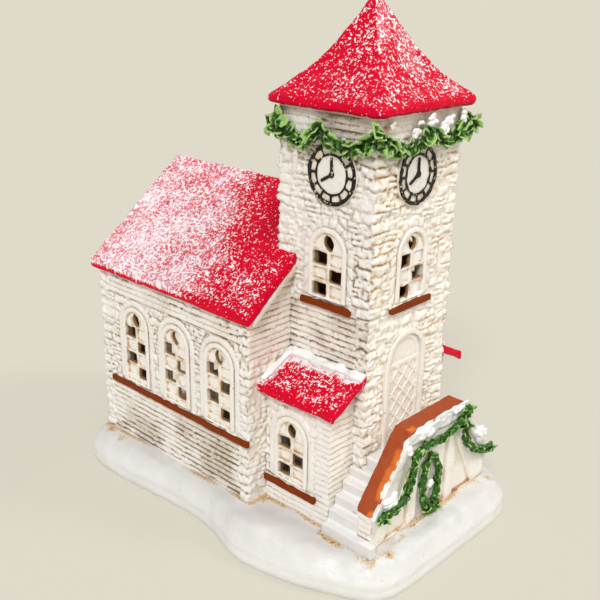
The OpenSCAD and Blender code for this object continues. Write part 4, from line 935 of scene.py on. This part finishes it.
def plan_gap(points, blocks):
    """Distance on plan from the nearest of some blocks, and zero under them."""
    gap = np.full(len(points), FAR)
    for low, high in blocks:
        x = np.maximum(np.maximum(low[0] - points[:, 0], points[:, 0] - high[0]), 0)
        y = np.maximum(np.maximum(low[1] - points[:, 1], points[:, 1] - high[1]), 0)
        gap = np.minimum(gap, np.hypot(x, y))
    return gap


# Half the width of the bare way that the tea light goes in and out by
TEA_LANE = 24.0
# Where the wash ran out over the snow: across, forward and reach
SANDY = [
    (-49.5, 130, 5), (-51, 119, 3.5), (-49, 134, 4), (-42, 57, 3.5), (-46, 45, 3.5), (-39.5, 38, 4),
    (-36, 9, 3), (-37.5, -5, 3), (-41, -17, 3.5), (-35, -22, 2.5), (38, -19, 3)]
# How brown the floor of the rooms is, under the building
ROOM_FLOOR_BROWN = 1.2


def base_relief(points, normals):
    """Drifts that lie up against the walls, soft hollows in the snow, the sandy crust, and painted light
    that whitens the base's flanks.
    """
    gap = plan_gap(points, ROOMS + STAIR)
    over_foot = points[:, 2] - span("snow_base")[0][2]
    up = ease(normals[:, 2], 0.2, 0.7) * ease(over_foot, 1, 6)
    lane = (np.abs(points[:, 0]) < TEA_LANE) & (points[:, 1] > nave_high[1] - 8)
    room = (gap <= 0) | lane
    heap = (1.1 + 0.5 * grain(points, 7, 101)) * np.exp(-gap / 1.8)
    height = up * (heap + 0.55 * grain(points, 17, 102) + 0.35 * grain(points, 5, 103) - 0.25)
    height = np.where(room, 0, height)
    flank = ease(over_foot, 0.8, 4) * (1 - up)
    height = height + flank * (0.5 * grain(points, 22, 104) + 0.35 * grain(points, 6, 105))
    edge = 0.75 * np.exp(-((gap - 0.9) / (0.9 + 0.9 * ease(grain(points, 9, 106), 0, 0.8))) ** 2)
    crust = up * edge * patches(points, 11, 107, 0.25) * 1.25
    crust = np.where(gap <= 0, 0.5 * crust, crust)
    crust = np.where((plan_gap(points, ROOMS) <= 0) & (points[:, 2] > -1), ROOM_FLOOR_BROWN, crust)
    scattered = 0.35 * up * ease(grain(points, 4.5, 108), 0.2, 0.7) * (1 - ease(gap, 1, 7))
    crust = crust + np.where(points[:, 1] < 0, scattered, 0)
    for x, y, reach in SANDY:
        near = np.hypot(points[:, 0] - x, points[:, 1] - y) + 1.5 * grain(points, 3, 109)
        crust = np.maximum(crust, up * (1.05 - 0.95 * near / reach))
    # Painted light: the flanks of the base are whitened
    return height, {"crust": crust, "painted_light": 0.35 * flank}


cast("snow_drift", "snow_base", "snow_glaze", base_relief, voxel=0.95, soft=3, keep=0.6)


def snow_relief(rough, seed, dirt=0.35, painted_light=0.0):
    """Snow that lies on a step or a ledge: soft lumps, a little crust in its hollows, and painted light
    that is strongest where it looks up.
    """
    def relief(points, normals):
        low = ease(-grain(points, 5, seed + 1), 0.25, 0.8) * (1 - ease(normals[:, 2], 0.5, 0.9))
        lumps = grain(points, 4, seed) + 0.5 * grain(points, 1.8, seed + 2)
        # Painted light: snow is whitened most where it looks up
        return rough * lumps, {
            "crust": dirt * low, "painted_light": painted_light * (0.1 + 0.9 * ease(normals[:, 2], 0.1, 0.8))}
    return relief


cast("landing_block", "landing", "snow_glaze", snow_relief(0.2, 111, 0.35, 1.0),
     voxel=0.55, soft=3, keep=0.5)
cast("left_flight", "left_steps", "snow_glaze", snow_relief(0.22, 114, 0.6, 0.8), voxel=0.5, soft=3)
cast("right_flight", "right_steps", "snow_glaze", snow_relief(0.22, 117, 0.6, 0.8), voxel=0.5, soft=3)
cast("border_snow", "stair_snow", "snow_glaze", snow_relief(0.85, 121, 0.5, 0.9), voxel=0.38, soft=2)
cast("annex_roof_drift", "annex_roof_snow", "snow_glaze", snow_relief(1.1, 124, 0.1, 1.0),
     voxel=0.4, soft=3)

# Stair wall, coping and sills

STAIR_END = span("stair_wall")[1][0]


def stair_wall_relief(points, normals):
    """Flat panels with the wash in their corners, and brick lines on the two ends."""
    sideways, out = np.abs(normals[:, 0]), np.abs(points[:, 0])
    end = ease(sideways, 0.5, 0.8) * ease(out, STAIR_END - 1.2, STAIR_END - 0.4)
    lap_h, lap_line = laps(points, points[:, 2], 131)
    foot = 1 - ease(points[:, 2], 0.6, 4)
    patch = patches(points, 6, 132)
    wash = end * lap_line * 0.5 + 0.1 * patch + 0.55 * foot * patches(points, 4, 133)
    return end * lap_h + (1 - end) * 0.16 * grain(points, 4, 134), {
        "wash": wash, "hollow_wash_and_shade": 0.2 + 0.55 * patch, "warm": 0.9 - 0.6 * end}


cast("stair_parapet", "stair_wall", "cream_glaze", stair_wall_relief, voxel=0.48, soft=2, keep=0.5)


def coping_relief(points, normals):
    """Wavy edges, orange where the glaze ran thin, and white glaze over parts of the front edge."""
    from_front = points[:, 1] - span("stair_coping")[0][1]
    front = 1 - ease(from_front, 1.4, 4.8)
    lapped = 1 - ease(from_front + 0.8 * grain(points, 2.6, 147), 0.0, 0.55)
    return 0.28 * grain(points, 3.5, 141) + 0.15 * grain(points, 1.6, 142), {
        "thin": front * ease(grain(points, 8, 143), -0.5, 0.1), "pale": 1.0, "snowy": lapped}


def sill_relief(node):
    """A brown sill, with white glaze lapping raggedly over the back of its top."""
    low, high = span(node)

    def relief(points, normals):
        depth = np.minimum(np.minimum(points[:, 0] - low[0], high[0] - points[:, 0]), points[:, 1] - low[1])
        back = depth + 0.5 * grain(points, 2.6, 146)
        return 0.15 * grain(points, 3, 144), {
            "thin": 0.25 * ease(grain(points, 7, 145), 0.1, 0.7), "pale": 0.0,
            "snowy": ease(back, 0.9, 1.5) * ease(points[:, 2], high[2] - 0.7, high[2] - 0.3)}
    return relief


cast("coping_stones", "stair_coping", "brown_paint", coping_relief, soft=2, keep=0.6)
for part, voxel in (("nave", 0.36), ("tower", 0.3), ("annex", 0.3)):
    cast(f"{part}_ledges", f"{part}_sills", "brown_paint", sill_relief(f"{part}_sills"),
         voxel=voxel, soft=1)

# Garlands

# Points of a leaf along and across it: six round its rim and two on its rib
LEAF_OUTLINE = np.array([
    (0, 0), (0.3, 0.45), (0.72, 0.42), (1, 0), (0.72, -0.42), (0.3, -0.45), (0.36, 0), (0.7, 0)])
LEAF_FACES = [(0, 6, 1), (6, 7, 2, 1), (7, 3, 2), (0, 5, 6), (6, 5, 4, 7), (7, 4, 3)]
LEAF_RIM = [(0, 1), (1, 2), (2, 3), (3, 4), (4, 5), (5, 0)]
LEAF_THICK = 0.62
# Cells of everything that is made anew in the garlands
GARLAND_VOXEL = 0.32


def one_leaf(root, out, along, length, width, fold):
    """Corners of one folded leaf: its top face, then its under face."""
    side = np.cross(out, along)
    side /= np.linalg.norm(side)
    face = np.cross(along, side)
    t, s = LEAF_OUTLINE.T
    lift = fold * (np.abs(s) * 2) - 0.25 * t ** 2
    top = root + np.outer(t * length, along) + np.outer(s * width, side) + np.outer(lift * width, face)
    return np.concatenate([top, top - LEAF_THICK * face])


def leafage(name, node, count, leaf, core, seed, lean, light=0.28, twist=None, swell=None, keep=1.0):
    """A garland in one piece: a core thinner than its CAD strand, with leaves set all over it. leaf is
    the usual leaf's length and width, core how much thinner the core is, lean how far the leaves stand
    off, light the base level of its painted light and shade, twist their slant along the strand in
    degrees, and swell a leaf's size at its root. Its green is painted shade and highlight: darker near
    the core and in hollows, paler on ridges."""
    source = bmesh.new()
    source.from_mesh(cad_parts[node].data)
    bmesh.ops.triangulate(source, faces=source.faces)
    source.normal_update()
    corners = np.array([[tuple(vertex.co) for vertex in face.verts] for face in source.faces]) / MM - SITE
    outward = np.array([tuple(face.normal) for face in source.faces])
    edges = np.roll(corners, -1, axis=1) - corners
    area = np.linalg.norm(np.cross(edges[:, 0], edges[:, 1]), axis=1)
    longest = np.linalg.norm(edges, axis=2).argmax(axis=1)
    draw = np.random.default_rng(seed)
    for vertex in source.verts:
        vertex.co -= vertex.normal * core * MM
    stem = BVHTree.FromBMesh(source)
    for pick in draw.choice(len(area), count, p=area / area.sum()):
        a, b = sorted(draw.random(2))
        root = corners[pick].T @ np.array([a, b - a, 1 - b])
        out = outward[pick]
        turn = draw.normal(size=3)
        if twist is not None:
            slant = math.radians(twist + draw.normal() * 14)
            line = edges[pick, longest[pick]]
            turn = line * math.cos(slant) + np.cross(out, line) * math.sin(slant)
        turn -= turn @ out * out
        along = out * draw.uniform(*lean) + turn / np.linalg.norm(turn)
        along /= np.linalg.norm(along)
        size = draw.uniform(0.7, 1.15) * (swell(root) if swell else 1)
        fold = draw.uniform(0.05, 0.3)
        sheet = one_leaf(root - out * (core + 0.2), out, along, leaf[0] * size, leaf[1] * size, fold)
        rows = [source.verts.new((corner + SITE) * MM) for corner in sheet]
        under = len(LEAF_OUTLINE)
        for face in LEAF_FACES:
            source.faces.new([rows[i] for i in face])
            source.faces.new([rows[i + under] for i in reversed(face)])
        for i, j in LEAF_RIM:
            source.faces.new([rows[j], rows[i], rows[i + under], rows[j + under]])
    piece = thinned(skinned(name, source, GARLAND_VOXEL, 1), keep)
    mesh = piece.data
    height = np.array([stem.find_nearest(vertex.co)[3] for vertex in mesh.vertices]) / MM
    hollow = hollowness(mesh, 1)
    # Painted shade and highlight: lighter farther off the core, darker in hollows and paler on ridges
    leaf_shade_and_highlight = light + 0.6 * ease(height, 0.2, 2.2)
    leaf_shade_and_highlight = leaf_shade_and_highlight - 0.45 * ease(hollow, 0.04, 0.3) + 0.5 * ease(-hollow, 0.12, 0.45)
    mark(mesh, "leaf_shade_and_highlight", leaf_shade_and_highlight)
    return finish_piece(piece, "green_paint", [node])


# Height on the tower from which its garland counts as fixed up, and where it is so in full
FIXED_UP = (147.2, 150.0)


def at_fixings(root):
    """The tower's garland has its largest leaves where it is fixed up."""
    return 0.8 + 0.5 * ease(root[2], *FIXED_UP)


leafage("ivy_garland", "tower_garland", 620, leaf=(4.3, 3.5), core=1.4, seed=161, lean=(0.0, 0.3),
        swell=at_fixings, keep=0.5)
leafage("stair_ivy", "stair_garland", 430, leaf=(3.4, 2.1), core=0.9, seed=162, lean=(0.0, 0.25),
        light=0.3, twist=32)
leafage("ivy_wreath", "wreath", 300, leaf=(2.7, 1.7), core=1.0, seed=163, lean=(0.0, 0.12),
        light=0.32, twist=32)

# Snow caught in the garlands, on the front of the tower and of the stair: across, forward, up and reach
CLUMPS = {
    "tower_garland_snow": [
        (2.5, -2.4, 154.6, 2.9), (9.8, -2.8, 150.4, 3.4), (13.5, -2.0, 153.0, 2.8),
        (-7.0, -2.6, 150.2, 2.6), (23.4, -2.0, 153.8, 2.6), (23.6, -2.2, 149.9, 2.8),
        (-3.7, -1.6, 153.4, 1.9), (-19.5, -1.6, 154.5, 1.7)],
    "stair_garland_snow": [
        (12.3, -17.3, 41.2, 2.3), (-8.3, -17.4, 40.0, 4.2), (-19.5, -17.5, 36.0, 2.2),
        (30.4, -16.9, 24.6, 3.0), (34.2, -17.0, 22.4, 2.6), (-28.6, -17.2, 18.6, 3.9),
        (-1.7, -16.2, 13.6, 2.2), (17.6, -16.9, 42.4, 1.8)],
}
CLUMPS_IN_A_PATCH = 9


def clumps(name, places, seed):
    """Ragged patches of snow, each of small clumps that run together."""
    source = bmesh.new()
    draw = np.random.default_rng(seed)
    for x, y, z, reach in places:
        for _ in range(CLUMPS_IN_A_PATCH):
            away, turn = reach * math.sqrt(draw.random()) * 0.85, draw.uniform(0, 2 * math.pi)
            spot = np.array((x + away * math.cos(turn), y, z + 0.75 * away * math.sin(turn)))
            radius = (0.34 + 0.14 * draw.random()) * reach * MM
            squash = Matrix.Diagonal((1.15, 0.75, 0.9, 1.0))
            there = Matrix.Translation(Vector((spot + SITE) * MM))
            bmesh.ops.create_icosphere(source, subdivisions=2, radius=radius, matrix=there @ squash)
    piece = skinned(name, source, GARLAND_VOXEL, 1)
    points = points_of(piece.data)
    height = 0.4 * grain(points, 1.9, seed) + 0.25 * grain(points, 0.9, seed + 1)
    # Painted light: the clumps are whitened all over
    shape(piece.data, points + normals_of(piece.data) * height[:, None], {"crust": 0.0, "painted_light": 1.0})
    finish_piece(piece, "snow_glaze", [])


for seed, (name, places) in enumerate(CLUMPS.items(), 171):
    clumps(name, places, seed)


# Tea light

def casing_relief(points, normals):
    """The casing is cast a little uneven, as wax is."""
    return 0.12 * grain(points, 6, 151), {}


cast("candle_casing", "candle_shell", "wax_plastic", casing_relief, soft=2, keep=0.35, body="tea_light")
cast("candle_flame_tip", "candle_flame", "flame_plastic", voxel=0.34, soft=6, body="tea_light")
for node, slot in (
        ("candle_tray", "wax_plastic"), ("led", "led_lens"), ("circuit_board", "board"),
        ("coin_cell", "cell_metal"), ("battery_contacts", "contact_metal"),
        ("battery_cover", "wax_plastic"), ("switch_slider", "switch_plastic")):
    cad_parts[node].data.materials.clear()
    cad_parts[node].data.materials.append(FINISH[slot])

# Stage, light and camera

FLOOR_COLOUR = "#DBD6C5"
BACKDROP_COLOUR = "#DFDACA"
# Share of the floor's look that is its plain colour, where the rest is light and shadow
PLAIN_SHARE = 0.7
# In metres
FLOOR_RADIUS = 30
SKY_COLOUR = (0.97, 0.98, 1.0, 1.0)
SKY_STRENGTH = 0.48


def to_the_camera(tree):
    """1 for rays from the camera, also by way of metal or glass, and 0 for the light on the house."""
    path = add(tree, "LightPath").node.outputs
    seen = add(tree, "Math", {0: path["Is Camera Ray"], 1: path["Is Glossy Ray"]}, operation="ADD")
    return add(tree, "Math", {0: seen, 1: path["Is Transmission Ray"]}, operation="ADD", use_clamp=True)


def floor_finish():
    """Pale paper that shows its own colour to the camera, with a third of the shadows on it."""
    made, tree, _ = new_finish("pale_paper_floor", Base_Color=linear(FLOOR_COLOUR), Roughness=0.9, IOR=1.3)
    share = add(tree, "Math", {0: to_the_camera(tree), 1: PLAIN_SHARE}, operation="MULTIPLY")
    glow = add(tree, "Emission", {"Color": BACKDROP_COLOUR, "Strength": 1.0})
    lit = tree.nodes["Principled BSDF"].outputs[0]
    both = add(tree, "MixShader", {0: share, 1: lit, 2: glow})
    tree.links.new(both, tree.nodes["Material Output"].inputs["Surface"])
    return made


def stage():
    """A plain pale floor that runs out to the horizon."""
    disc = bmesh.new()
    bmesh.ops.create_circle(disc, cap_ends=True, segments=64, radius=FLOOR_RADIUS)
    mesh = bpy.data.meshes.new("floor")
    disc.to_mesh(mesh)
    disc.free()
    mesh.materials.append(floor_finish())
    floor = bpy.data.objects.new("floor", mesh)
    bpy.context.scene.collection.objects.link(floor)


def daylight():
    """An even sky that lights the house, and looks like the backdrop to the camera."""
    world = bpy.data.worlds.new("studio")
    bpy.context.scene.world = world
    world.use_nodes = True
    tree = world.node_tree
    tree.nodes.clear()
    sky = add(tree, "Background", {"Color": SKY_COLOUR, "Strength": SKY_STRENGTH})
    backdrop = add(tree, "Background", {"Color": BACKDROP_COLOUR, "Strength": 1.0})
    both = add(tree, "MixShader", {0: to_the_camera(tree), 1: sky, 2: backdrop})
    add(tree, "OutputWorld", {"Surface": both})


def lamp(name, towards, strength, softness, colour):
    """A sun lamp that shines from a direction, with a softness in degrees."""
    light = bpy.data.lights.new(name, "SUN")
    light.energy = strength
    light.angle = math.radians(softness)
    light.color = colour
    holder = bpy.data.objects.new(name, light)
    holder.rotation_euler = Vector(towards).to_track_quat("Z", "Y").to_euler()
    bpy.context.scene.collection.objects.link(holder)


# The camera's place in millimetres from the point of the table under the middle of the base, its
# turns in radians, and its focal length in pixels of the photograph
CAMERA_PLACE = (-257.66, -238.79, 218.35)
CAMERA_YAW, CAMERA_PITCH, CAMERA_ROLL = 0.823, 0.361, 0.019
FOCAL_PIXELS = 878.67
PHOTO_PIXELS = 600


def camera():
    """Stands where the photograph was taken from, found from the house's upright and level lines."""
    data = bpy.data.cameras.new("camera")
    data.sensor_width = 36
    data.lens = FOCAL_PIXELS / PHOTO_PIXELS * data.sensor_width
    data.clip_start = 0.01
    data.clip_end = 100
    holder = bpy.data.objects.new("camera", data)
    forward = Vector((math.sin(CAMERA_YAW) * math.cos(CAMERA_PITCH),
                      math.cos(CAMERA_YAW) * math.cos(CAMERA_PITCH), -math.sin(CAMERA_PITCH)))
    level = Vector((math.cos(CAMERA_YAW), -math.sin(CAMERA_YAW), 0))
    upright = level.cross(forward)
    right = math.cos(CAMERA_ROLL) * level + math.sin(CAMERA_ROLL) * upright
    above = math.cos(CAMERA_ROLL) * upright - math.sin(CAMERA_ROLL) * level
    turn = Matrix((right, above, -forward)).transposed()
    holder.matrix_world = Matrix.Translation(Vector(CAMERA_PLACE) * MM) @ turn.to_4x4()
    bpy.context.scene.collection.objects.link(holder)
    bpy.context.scene.camera = holder


stage()
daylight()
lamp("window_light", towards=(0.42, -0.62, 0.66), strength=1.05, softness=14, colour=(1.0, 0.98, 0.955))
lamp("reflector", towards=(-0.66, -0.36, 0.66), strength=1.75, softness=12, colour=(0.98, 0.99, 1.0))
camera()
bpy.context.scene.view_settings.view_transform = "Standard"
